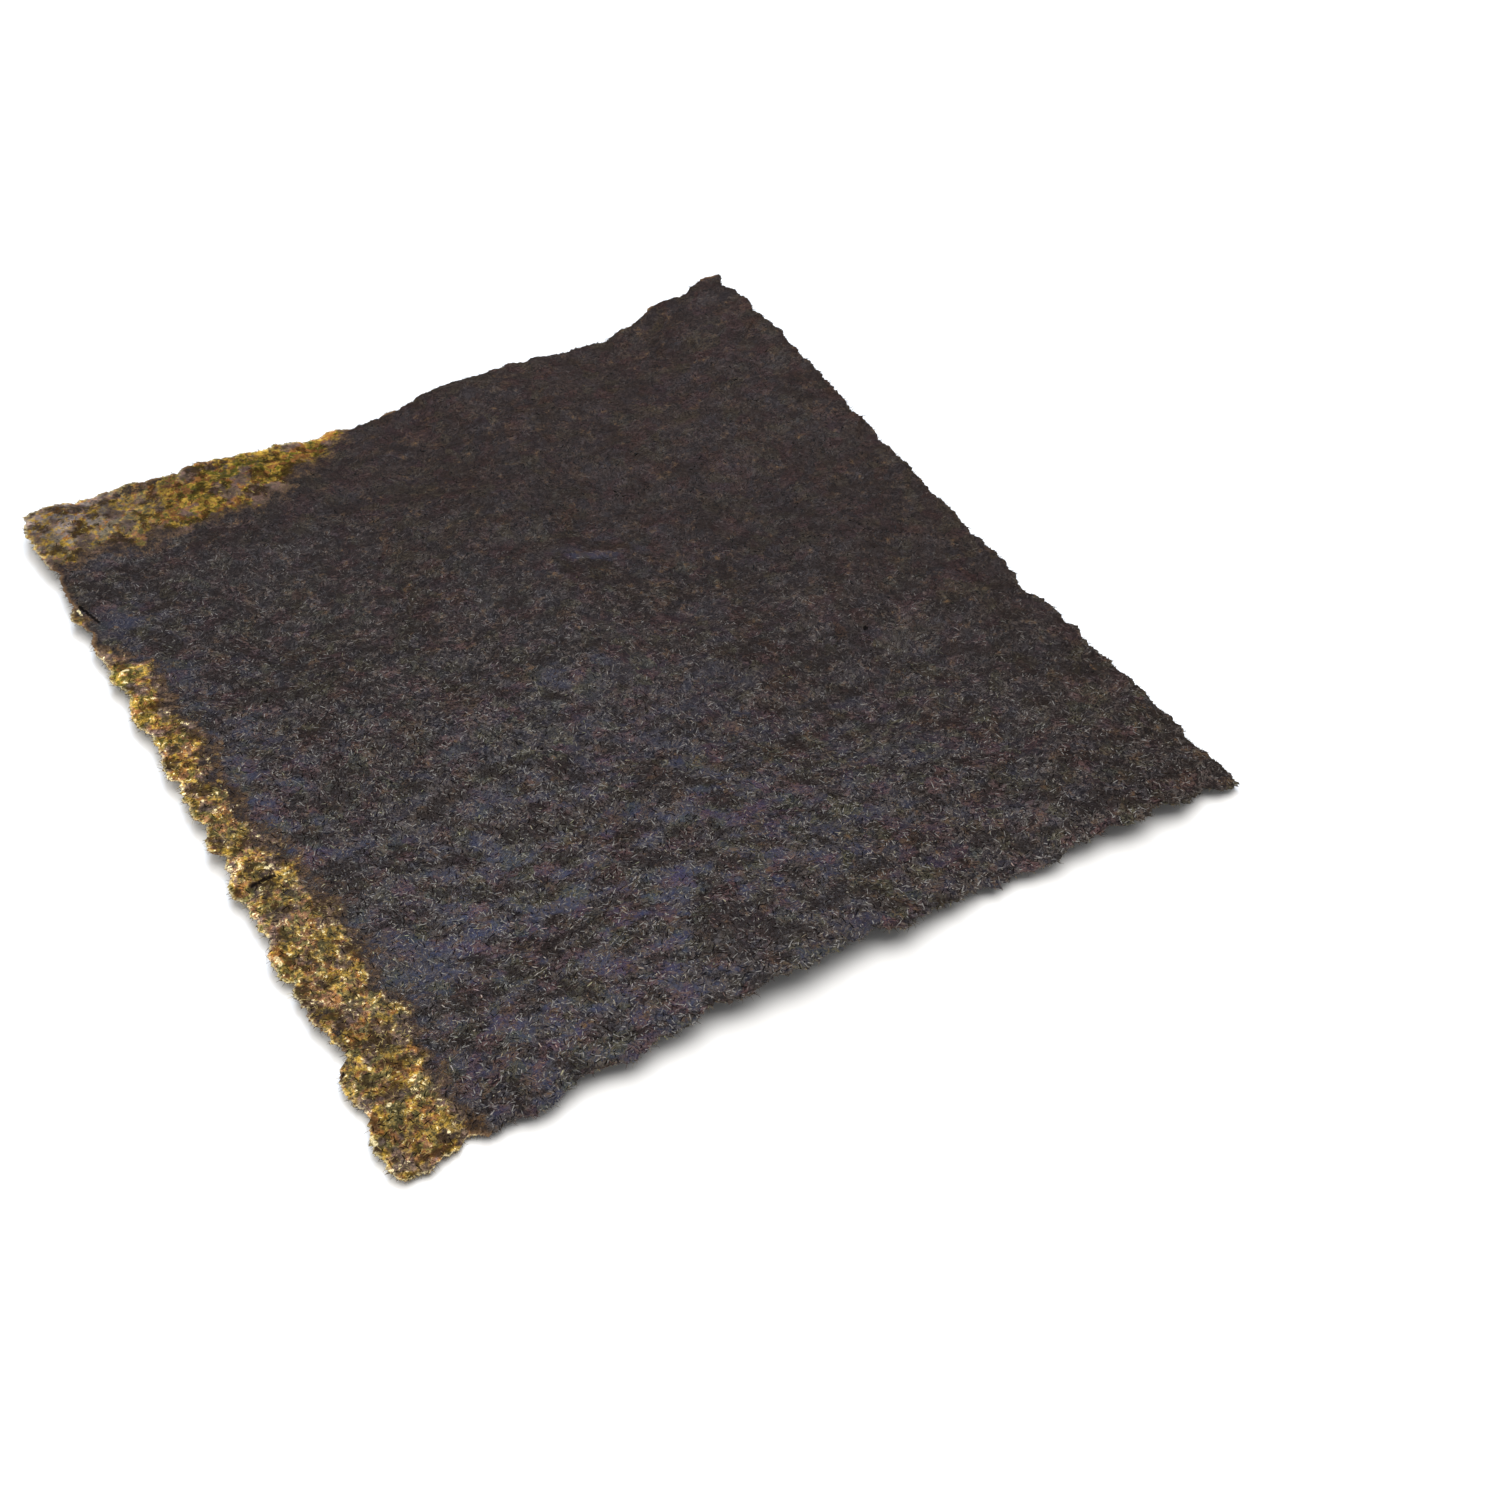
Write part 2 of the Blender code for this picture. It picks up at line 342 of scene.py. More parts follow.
@dataclass
class LeafForm:
    """Outline, waves, fine relief and patches of the leaf, as functions over its plane."""

    width: float = 0.190
    length: float = 0.210
    thickness: float = 0.0003
    least_thickness: float = 0.00015
    float_height: float = 0.0034
    coarse_spacing: float = 0.0016
    corner_blunt: float = 0.0008
    corner_reach: float = 0.0020
    rim_seed: int = 19
    rim_waves: int = 40
    rim_longest: float = 0.030
    rim_shortest: float = 0.0036
    rim_depth: float = 0.00024
    rim_depth_power: float = 0.8
    slack_margin: float = 0.022
    crumple_seed: int = 7
    crumple_waves: int = 24
    crumple_longest: float = 0.024
    crumple_shortest: float = 0.010
    crumple_depth: float = 0.00005
    sides: tuple[Side, ...] = (
        Side(SideName.FRONT, (-1, -1), (1, -1), (0, -1), 0.0004, -0.0012, 0.0014),
        Side(SideName.RIGHT, (1, -1), (1, 1), (1, 0), -0.0003, -0.0002, 0.0006),
        Side(SideName.BACK, (1, 1), (-1, 1), (0, 1), 0.0014, -0.0007, 0.0008),
        Side(SideName.LEFT, (-1, 1), (-1, -1), (-1, 0), 0.0015, 0.0000, 0.0013),
    )
    bays: tuple[Bay, ...] = (
        Bay(SideName.FRONT, 0.0145, 0.0026, 0.0016),
        Bay(SideName.FRONT, 0.0640, 0.0012, 0.0022),
        Bay(SideName.FRONT, 0.1290, 0.0011, 0.0030),
        Bay(SideName.RIGHT, 0.0720, 0.0010, 0.0040),
        Bay(SideName.BACK, 0.0360, 0.0013, 0.0035),
        Bay(SideName.BACK, 0.1080, 0.0012, 0.0045),
        Bay(SideName.LEFT, 0.0240, 0.0014, 0.0035),
        Bay(SideName.LEFT, 0.1800, 0.0021, 0.0065),
    )
    swells: tuple[Swell, ...] = (
        Swell(0.090, 0.083, 0.0043, 0.023, 0.038),
        Swell(-0.014, 0.105, -0.0042, 0.015, 0.030),
        Swell(0.058, 0.105, -0.0052, 0.015, 0.026),
        Swell(-0.095, 0.105, 0.0016, 0.012, 0.014),
        Swell(-0.008, -0.105, 0.0029, 0.026, 0.040),
        Swell(0.070, -0.105, 0.0026, 0.017, 0.030),
        Swell(0.037, -0.105, -0.0018, 0.009, 0.018),
        Swell(-0.086, -0.105, -0.0023, 0.014, 0.020),
        Swell(0.097, -0.105, -0.0020, 0.014, 0.020),
        Swell(0.095, -0.045, -0.0017, 0.030, 0.042),
        Swell(-0.048, -0.050, -0.0042, 0.024, 0.019),
        Swell(0.044, 0.026, -0.0044, 0.024, 0.021),
        Swell(-0.046, 0.044, -0.0040, 0.021, 0.024),
        Swell(0.034, -0.042, -0.0042, 0.021, 0.017),
    )
    creases: tuple[Crease, ...] = (
        Crease(-0.042, -0.028, -0.012, -0.066, 0.0007, 0.0042),
        Crease(-0.077, 0.078, -0.079, 0.026, 0.0006, 0.0040),
        Crease(-0.079, -0.064, -0.073, -0.092, 0.0006, 0.0040),
        Crease(-0.030, -0.071, 0.004, -0.079, 0.0005, 0.0036),
        Crease(0.014, -0.079, 0.054, -0.084, 0.0005, 0.0036),
        Crease(-0.062, -0.008, -0.040, -0.016, 0.0004, 0.0036),
    )
    slack_waves: tuple[SlackWave, ...] = (
        SlackWave(24.0, 0.058, 0.00045, 0.6),
        SlackWave(-52.0, 0.041, 0.00035, 2.1),
        SlackWave(81.0, 0.036, 0.00025, 4.0),
        SlackWave(-12.0, 0.027, 0.00018, 1.3),
    )
    furrows: tuple[Crease, ...] = (
        Crease(-0.0590, -0.0245, -0.0490, -0.0320, 0.00020, 0.0013),
        Crease(-0.0335, -0.0265, 0.0015, -0.0685, -0.00016, 0.0012),
        Crease(-0.0710, 0.0155, -0.0710, -0.0110, 0.00018, 0.0014),
        Crease(-0.0840, 0.0820, -0.0635, 0.0830, -0.00016, 0.0011),
        Crease(-0.0740, 0.0550, -0.0480, 0.0560, -0.00016, 0.0011),
        Crease(-0.0380, 0.0450, 0.0025, 0.0455, -0.00014, 0.0012),
        Crease(0.0040, 0.0920, 0.0240, 0.0920, -0.00012, 0.0010),
        Crease(-0.0926, -0.0287, -0.0867, -0.0284, 0.00028, 0.0009),
        Crease(-0.0879, -0.0262, -0.0858, -0.0258, -0.00034, 0.0008),
        Crease(-0.0946, -0.0476, -0.0946, -0.0514, -0.00034, 0.0010),
        Crease(-0.0934, 0.0432, -0.0914, 0.0428, -0.00026, 0.0008),
        Crease(-0.0937, 0.0688, -0.0915, 0.0618, 0.00030, 0.0007),
        Crease(-0.0959, -0.0898, -0.0955, -0.0966, -0.00030, 0.0010),
        Crease(-0.0510, -0.0575, -0.0290, -0.0495, -0.00014, 0.0012),
        Crease(-0.0085, -0.0370, 0.0240, -0.0455, 0.00016, 0.0013),
        Crease(0.0220, -0.0560, 0.0525, -0.0625, -0.00014, 0.0012),
        Crease(-0.0595, -0.0785, -0.0435, -0.0930, 0.00018, 0.0013),
        Crease(0.0551, -0.0252, 0.0563, -0.0255, 0.00030, 0.0009),
        Crease(-0.0696, 0.0200, -0.0688, 0.0196, 0.00018, 0.0008),
        Crease(-0.0349, 0.0047, -0.0341, 0.0044, 0.00018, 0.0008),
        Crease(-0.0281, 0.0534, -0.0273, 0.0530, 0.00016, 0.0008),
        Crease(-0.0253, -0.0235, -0.0245, -0.0238, 0.00018, 0.0008),
        Crease(-0.0567, -0.0161, -0.0559, -0.0164, 0.00018, 0.0008),
    )
    crinkle_cells: tuple[float, ...] = (0.0085, 0.0047, 0.0026)
    crinkle_heights: tuple[float, ...] = (0.00030, 0.00024, 0.00014)
    crinkle_seed: int = 311
    ripples: tuple[Ripple, ...] = (
        Ripple(-50.0, 3.0, 0.0060, 0.00030, 515),
        Ripple(-4.0, 3.0, 0.0044, 0.00024, 516),
        Ripple(-84.0, 2.4, 0.0058, 0.00028, 517),
        Ripple(26.0, 2.4, 0.0052, 0.00026, 518),
    )
    calm_back: float = 0.45
    pleat_cell: float = 0.0120
    pleat_width: float = 0.05
    pleat_height: float = 0.00022
    pleat_seed: int = 421
    # Where the leaf is painted golden with backlight.
    margin: BacklitMargin = BacklitMargin()
    # Patches of painted bluish sheen, standing in for the reflection of the sheen softbox.
    painted_sheen: tuple[Swell, ...] = (
        Swell(-0.0385, -0.0755, 1.2, 0.045, 0.033),
        Swell(-0.0815, -0.0060, 0.8, 0.009, 0.026),
        Swell(-0.0850, 0.0555, 0.42, 0.0060, 0.0130),
        Swell(-0.0100, -0.0070, 0.5, 0.006, 0.003),
        Swell(0.0155, 0.0280, 0.5, 0.007, 0.003),
        Swell(-0.0865, 0.1000, 1.0, 0.011, 0.009),
    )
    # Patches that dim the margin's painted backlight glow: painted shade.
    glow_dimming: tuple[Swell, ...] = (
        Swell(-0.0942, -0.0700, 1.5, 0.0020, 0.0070),
        Swell(-0.0580, 0.1045, 0.8, 0.018, 0.0035),
        Swell(-0.0835, 0.1040, 0.5, 0.006, 0.005),
        Swell(-0.0940, -0.0160, 0.5, 0.003, 0.012),
        Swell(-0.0860, -0.0130, 0.65, 0.0030, 0.0150),
        Swell(-0.0885, -0.0440, 0.50, 0.0040, 0.0090),
        Swell(-0.0805, -0.1025, 0.7, 0.006, 0.003),
    )
    shift: np.ndarray = field(init=False)

    def __post_init__(self) -> None:
        """Work out the shift that puts the middle of the outline's box over that of the CAD part."""
        low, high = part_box(NODE)
        middle = np.array(((low.x + high.x) / 2.0, (low.y + high.y) / 2.0))
        counts = [int(round(self.side_length(side) / self.coarse_spacing)) for side in self.sides]
        outline = self.rim_line(counts)
        self.shift = middle - (outline.min(axis=0) + outline.max(axis=0)) / 2.0

    def side_length(self, side: Side) -> float:
        """Length of a side between its two corners."""
        run = np.abs(np.array(side.end) - np.array(side.start))
        return float(run @ np.array((self.width, self.length)) / 2.0)

    def torn_rim(self, distance: np.ndarray) -> np.ndarray:
        """Ragged offset of the rim: a sum of sine waves whose lengths and phases are drawn.

        A shorter wave is shallower by a power of its length.

        Args:
            distance: Distance along the whole perimeter.

        Returns:
            The outward offset at each distance.
        """
        rng = np.random.RandomState(self.rim_seed)
        span = np.log((self.rim_shortest, self.rim_longest))
        wavelengths = np.exp(rng.uniform(span[0], span[1], self.rim_waves))
        phases = rng.uniform(0.0, 2.0 * np.pi, self.rim_waves)
        depths = self.rim_depth * (wavelengths / self.rim_longest) ** self.rim_depth_power
        angle = 2.0 * np.pi * distance[:, None] / wavelengths + phases
        return np.sin(angle) @ depths

    def side_offset(self, side: Side, along: np.ndarray, ragged: np.ndarray) -> np.ndarray:
        """Outward offset of a side: a parabola, the torn rim, the bays and the blunt corners.

        Args:
            side: The side.
            along: Distance from the side's start.
            ragged: Ragged offset at each of these distances.

        Returns:
            The outward offset from the straight line at each distance.
        """
        length = self.side_length(side)
        share = along / length
        bow = side.start_reach * 2.0 * (share - 0.5) * (share - 1.0)
        bow += side.middle_reach * 4.0 * share * (1.0 - share)
        bow += side.end_reach * 2.0 * share * (share - 0.5)
        for bay in self.bays:
            if bay.side == side.name:
                bow -= bay.depth * np.exp(-0.5 * ((along - bay.middle) / bay.half_width) ** 2)
        blunt = np.exp(-along / self.corner_reach) + np.exp(-(length - along) / self.corner_reach)
        return bow + ragged - self.corner_blunt * blunt

    def rim_line(self, counts: list[int], fray: Fray | None = None) -> np.ndarray:
        """Points round the torn rim, anticlockwise from the front left corner.

        Args:
            counts: Number of steps along each side.
            fray: Finer raggedness that is added, if any.

        Returns:
            The points as rows of X and Y, before the shift.
        """
        half = np.array((self.width, self.length)) / 2.0
        lengths = [self.side_length(side) for side in self.sides]
        starts = np.concatenate(([0.0], np.cumsum(lengths)))
        alongs = [np.linspace(0.0, size, count + 1) for size, count in zip(lengths, counts)]
        travelled = [start + along for start, along in zip(starts, alongs)]
        offsets = []
        for side, along, distance in zip(self.sides, alongs, travelled):
            ragged = self.torn_rim(distance)
            if fray is not None:
                ragged = ragged + fray.offset(distance)
            offsets.append(self.side_offset(side, along, ragged))
        points = []
        for number, side in enumerate(self.sides):
            after = (number + 1) % len(self.sides)
            share = (alongs[number] / lengths[number])[:, None]
            reach_before = np.array(self.sides[number - 1].outward) * offsets[number - 1][-1]
            reach_after = np.array(self.sides[after].outward) * offsets[after][0]
            start = np.array(side.start) * half + reach_before
            end = np.array(side.end) * half + reach_after
            line = start + (end - start) * share
            edge = line + np.array(side.outward) * offsets[number][:, None]
            points.append(edge[:-1])
        return np.concatenate(points)

    def crumple(self) -> list[SlackWave]:
        """Low relief of the pressed leaf: short sine waves in drawn directions.

        Returns:
            The waves.
        """
        rng = np.random.RandomState(self.crumple_seed)
        wavelengths = rng.uniform(self.crumple_shortest, self.crumple_longest, self.crumple_waves)
        directions = np.degrees(rng.uniform(0.0, np.pi, self.crumple_waves))
        phases = rng.uniform(0.0, 2.0 * np.pi, self.crumple_waves)
        drawn = zip(directions, wavelengths, phases)
        return [SlackWave(turn, length, self.crumple_depth, phase) for turn, length, phase in drawn]

    def waves(self, x: np.ndarray, y: np.ndarray) -> np.ndarray:
        """Height of the leaf's waves over its support, before the lowest of them meet it.

        The height is a sum of bell-shaped swells, creases, slack waves that fade towards the
        sides, and the crumple.

        Args:
            x: X of the points, before the shift.
            y: Y of the points, before the shift.

        Returns:
            The height at each point.
        """
        height = self.float_height + sum(swell.at(x, y) for swell in self.swells)
        height -= sum(crease.at(x, y) for crease in self.creases)
        to_side = np.minimum(self.width / 2.0 - np.abs(x), self.length / 2.0 - np.abs(y))
        inside = 1.0 - np.exp(-((np.clip(to_side, 0.0, None) / self.slack_margin) ** 2))
        height += inside * sum(wave.at(x, y) for wave in self.slack_waves)
        return height + sum(wave.at(x, y) for wave in self.crumple())

    def crinkle(self, x: np.ndarray, y: np.ndarray) -> np.ndarray:
        """Fine relief: noise of several sizes, ripples, sharp low pleats and the small furrows.

        The furrows and the noise are calmer towards the back. A pleat stands where a wide noise
        crosses zero, so that it runs as a line.

        Args:
            x: X of the points, before the shift.
            y: Y of the points, before the shift.

        Returns:
            The height of the relief at each point.
        """
        relief = sum(ripple.at(x, y) for ripple in self.ripples)
        relief -= sum(furrow.at(x, y) for furrow in self.furrows)
        for step, (cell, height) in enumerate(zip(self.crinkle_cells, self.crinkle_heights)):
            relief += height * GradientNoise(self.crinkle_seed + step, cell).at(x, y)
        relief *= 1.0 - self.calm_back * np.clip(y / self.length + 0.5, 0.0, 1.0)
        crossing = GradientNoise(self.pleat_seed, self.pleat_cell).at(x, y)
        return relief + self.pleat_height * np.exp(-((crossing / self.pleat_width) ** 2))

    def heights(self, x: np.ndarray, y: np.ndarray) -> tuple[np.ndarray, np.ndarray]:
        """Height of the two faces at each point.

        The underside is the waves and the crinkle, no lower than the support. The upper side is
        one thickness above the waves, with the same crinkle.

        Args:
            x: X of the points, before the shift.
            y: Y of the points, before the shift.

        Returns:
            The heights of the underside and of the upper side.
        """
        waves = self.waves(x, y)
        crinkle = self.crinkle(x, y)
        under = np.clip(waves + crinkle, 0.0, None)
        upper = np.clip(waves, 0.0, None) + self.thickness + crinkle
        upper = np.maximum(upper, under + self.least_thickness)
        return under, np.minimum(upper, CAD_BOX[1].z)

    def placed(self, x: np.ndarray, y: np.ndarray, z: np.ndarray) -> np.ndarray:
        """Points with the shift added, kept inside the box of the CAD part."""
        return np.clip(np.stack((x + self.shift[0], y + self.shift[1], z), axis=-1), *CAD_BOX)

    def tones(self, x: np.ndarray, y: np.ndarray) -> dict[str, np.ndarray]:
        """Share of the margin painted golden with backlight, and of the patches that dim its painted glow,
        at each point.
        """
        backlit = self.margin.share(x, y, x + self.width / 2.0)
        return {"backlit": backlit, "glow_dimming": patch_share(self.glow_dimming, x, y)}


# ---- Mesh writing ----


def write_piece(
    name: str,
    points: np.ndarray,
    faces: list[np.ndarray],
    values: dict[str, np.ndarray],
    material: bpy.types.Material,
    sharp_degrees: float = 50.0,
) -> bpy.types.Object:
    """Put a finished piece into the scene and fix it to the leaf.

    Args:
        name: Name of the piece.
        points: Rows of X, Y and Z.
        faces: Arrays of faces, each with the same number of corners in all its rows.
        values: Named values, one for each point, that the material reads.
        material: The finish.
        sharp_degrees: Edges that turn by more than this are sharp.

    Returns:
        The new object.
    """
    mesh = bpy.data.meshes.new(name)
    rows = [row for array in faces for row in array.tolist()]
    mesh.from_pydata(points.tolist(), [], rows)
    for title, numbers in values.items():
        attribute = mesh.attributes.new(title, "FLOAT", "POINT")
        attribute.data.foreach_set("value", numbers.astype(np.float32))
    mesh.shade_smooth()
    mesh.set_sharp_from_angle(angle=math.radians(sharp_degrees))
    mesh.materials.append(material)
    piece = bpy.data.objects.new(name, mesh)
    bpy.context.scene.collection.objects.link(piece)
    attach(piece, BODY)
    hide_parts(NODE)
    triangles = sum(len(array) * (array.shape[1] - 2) for array in faces)
    LOG.info("%s: %d points, %d triangles", name, len(points), triangles)
    return piece


def grid_faces(rows: int, columns: int, wrap: bool = False) -> np.ndarray:
    """Quads of a grid of points that is stored row by row.

    Args:
        rows: Number of rows of points.
        columns: Number of points in a row.
        wrap: Whether the last column is joined to the first.

    Returns:
        The quads, each anticlockwise where columns run along X and rows along Y.
    """
    row = np.arange(rows - 1)[:, None] * columns
    column = np.arange(columns if wrap else columns - 1)[None, :]
    following = (column + 1) % columns
    corners = (row + column, row + following, row + columns + following, row + columns + column)
    return np.stack(corners, axis=-1).reshape(-1, 4)


# ---- Pieces ----


@dataclass
class LeafShell:
    """A closed thin part of the leaf: its points, both heights and the nearness to the rim."""

    form: LeafForm
    x: np.ndarray
    y: np.ndarray
    under: np.ndarray
    upper: np.ndarray
    rim: np.ndarray

    def write(
        self, name: str, upward: np.ndarray, lines: list[np.ndarray], material: bpy.types.Material
    ) -> bpy.types.Object:
        """Write the piece: the upper side, the underside turned over, and the walls.

        Args:
            name: Name of the piece.
            upward: Quads of its points that face up.
            lines: Closed lines of points that walls stand on, each with the leaf on its left.
            material: The finish.

        Returns:
            The new object.
        """
        count = len(self.x)
        sides = [self.form.placed(self.x, self.y, height) for height in (self.under, self.upper)]
        faces = [upward[:, ::-1], upward + count]
        for line in lines:
            after = np.roll(line, -1)
            faces.append(np.column_stack((line, after, after + count, line + count)))
        # Shares of the painted backlit margin and of the patches that dim its glow.
        values = self.form.tones(self.x, self.y)
        # Share of the painted bluish sheen.
        values["painted_sheen"] = patch_share(self.form.painted_sheen, self.x, self.y)
        values["rim"] = self.rim
        both = {title: np.tile(part, 2) for title, part in values.items()}
        return write_piece(name, np.concatenate(sides), faces, both, material)


@dataclass
class LeafBody:
    """The inner field of the leaf: a fine grid with both faces and a wall at its seam."""

    form: LeafForm
    inset: float = 0.009
    columns: int = 204
    rows: int = 228
    name: str = "nori_body"

    def plane(self) -> tuple[np.ndarray, np.ndarray]:
        """Places of the grid's points before the shift.

        Returns:
            X and Y, row by row.
        """
        half_width = self.form.width / 2.0 - self.inset
        half_length = self.form.length / 2.0 - self.inset
        xs = np.linspace(-half_width, half_width, self.columns + 1)
        ys = np.linspace(-half_length, half_length, self.rows + 1)
        x, y = np.meshgrid(xs, ys)
        return x.ravel(), y.ravel()

    def seam(self) -> np.ndarray:
        """Outermost points of the grid.

        Returns:
            Their indices, anticlockwise from the front left corner.
        """
        wide = self.columns + 1
        front = np.arange(self.columns)
        right = self.columns + wide * np.arange(self.rows)
        back = wide * self.rows + self.columns - np.arange(self.columns)
        left = wide * (self.rows - np.arange(self.rows))
        return np.concatenate((front, right, back, left))

    def build(self, material: bpy.types.Material) -> bpy.types.Object:
        """Build the piece.

        Args:
            material: The finish.

        Returns:
            The new object.
        """
        x, y = self.plane()
        shell = LeafShell(self.form, x, y, *self.form.heights(x, y), np.zeros_like(x))
        upward = grid_faces(self.rows + 1, self.columns + 1)
        return shell.write(self.name, upward, [self.seam()], material)


@dataclass
class TornBorder:
    """The border of the leaf: a closed ring from the seam of the body out to the torn rim."""

    body: LeafBody
    fray: Fray
    splits: int = 4
    rows: int = 12
    crowding: float = 1.7
    feather: float = 0.0016
    feather_share: float = 0.5
    rim_reach: float = 0.0020
    name: str = "nori_border"

    def rim(self) -> np.ndarray:
        """Points of the torn rim, before the shift."""
        counts = [self.body.columns * self.splits, self.body.rows * self.splits] * 2
        return self.body.form.rim_line(counts, self.fray)

    def seam(self) -> tuple[np.ndarray, np.ndarray]:
        """The body's seam with extra points on its straight edges.

        Returns:
            The points as rows of X and Y, and the heights of the underside and the upper side.
        """
        x, y = (part[self.body.seam()] for part in self.body.plane())
        known = np.column_stack((x, y, *self.body.form.heights(x, y)))
        share = np.arange(self.splits)[:, None] / self.splits
        filled = known[:, None] * (1.0 - share) + np.roll(known, -1, axis=0)[:, None] * share
        filled = filled.reshape(-1, known.shape[1])
        return filled[:, :2], filled[:, 2:].T

    def build(self, material: bpy.types.Material) -> bpy.types.Object:
        """Build the piece. Its rows crowd towards the rim, where the leaf is feathered thin.

        Args:
            material: The finish.

        Returns:
            The new object.
        """
        seam, seam_heights = self.seam()
        rim = self.rim()
        columns = len(seam)
        share = 1.0 - (1.0 - np.linspace(0.0, 1.0, self.rows + 1)) ** self.crowding
        plan = seam + (rim - seam) * share[:, None, None]
        x, y = plan.reshape(-1, 2).T
        under, upper = self.body.form.heights(x, y)
        under[:columns], upper[:columns] = seam_heights
        gap = np.hypot(*(rim - plan).reshape(-1, 2).T)
        upper -= (upper - under) * self.feather_share * np.exp(-((gap / self.feather) ** 2))
        shell = LeafShell(self.body.form, x, y, under, upper, np.exp(-gap / self.rim_reach))
        upward = grid_faces(self.rows + 1, columns, wrap=True)[:, ::-1]
        inner = np.arange(columns)
        return shell.write(self.name, upward, [inner[::-1], inner + self.rows * columns], material)


# A fleck's outline: rows of share along it, share across it and share of its lift. It has a
# point at each end and two stations of left, ridge and right between them.
FLECK_SHAPE = (
    (-1.00, 0.00, -0.4),
    (-0.35, 1.00, -0.4), (-0.30, 0.10, 1.0), (-0.40, -0.90, -0.4),
    (0.40, 0.85, -0.4), (0.35, -0.05, 0.9), (0.35, -1.00, -0.4),
    (1.00, 0.05, -0.4),
)
FLECK_TRIANGLES = (
    (0, 2, 1), (0, 3, 2), (1, 2, 5), (1, 5, 4), (2, 3, 6), (2, 6, 5),
    (4, 5, 7), (5, 6, 7), (0, 1, 3), (1, 4, 6), (1, 6, 3), (4, 7, 6),
)


@dataclass
class SurfaceFlecks:
    """Short shreds of laver pressed onto one face, each a small raised lozenge."""

    form: LeafForm
    face: Face
    seed: int
    count: int = 16000
    tries: int = 48000
    shortest: float = 0.0005
    longest: float = 0.0021
    narrowest: float = 0.00016
    widest: float = 0.00042
    lowest_lift: float = 0.00002
    highest_lift: float = 0.00007
    bend: float = 0.22
    clump_cell: float = 0.0060
    clump_share: float = 0.5
    edge_gap: float = 0.0035

    def build(self, material: bpy.types.Material) -> bpy.types.Object:
        """Build the piece.

        Each fleck has a drawn place, direction, length, width, lift and tone. Every point of it
        takes the height of the face under it, plus or less its own share of the lift.

        Args:
            material: The finish.

        Returns:
            The new object.
        """
        rng = np.random.RandomState(self.seed)
        half_width = self.form.width / 2.0 - self.edge_gap
        half_length = self.form.length / 2.0 - self.edge_gap
        x = rng.uniform(-half_width, half_width, self.tries)
        y = rng.uniform(-half_length, half_length, self.tries)
        chance = self.clump_share + GradientNoise(self.seed + 1, self.clump_cell).at(x, y)
        kept = np.flatnonzero(rng.uniform(0.0, 1.0, self.tries) < chance)[: self.count]
        x, y = x[kept, None], y[kept, None]
        size, breadth, height, way, curve, tone = rng.uniform(0.0, 1.0, (len(kept), 6)).T[..., None]
        half_long = (self.shortest + (self.longest - self.shortest) * size**2) / 2.0
        half_wide = (self.narrowest + (self.widest - self.narrowest) * breadth**2) / 2.0
        lift = self.lowest_lift + (self.highest_lift - self.lowest_lift) * height
        shape_along, shape_across, shape_lift = np.array(FLECK_SHAPE).T
        along = shape_along * half_long
        bend = self.bend * (2.0 * curve - 1.0)
        across = shape_across * half_wide + bend * half_long * shape_along**2
        cos = np.cos(2.0 * np.pi * way)
        sin = np.sin(2.0 * np.pi * way)
        px = (x + along * cos - across * sin).ravel()
        py = (y + along * sin + across * cos).ravel()
        under, upper = self.form.heights(px, py)
        rise = (shape_lift * lift).ravel()
        above = self.face is Face.UPPER
        points = self.form.placed(px, py, upper + rise if above else under - rise)
        triangles = np.array(FLECK_TRIANGLES)[:, :: 1 if above else -1]
        first = len(FLECK_SHAPE) * np.arange(len(kept))[:, None, None]
        # Shares of the painted backlit margin at each fleck.
        tones = {**self.form.tones(x[:, 0], y[:, 0]), "tone": tone[:, 0]}
        values = {title: np.repeat(part, len(FLECK_SHAPE)) for title, part in tones.items()}
        faces = [(triangles + first).reshape(-1, 3)]
        return write_piece(f"nori_{self.face.value}_flecks", points, faces, values, material, ALL_SMOOTH)


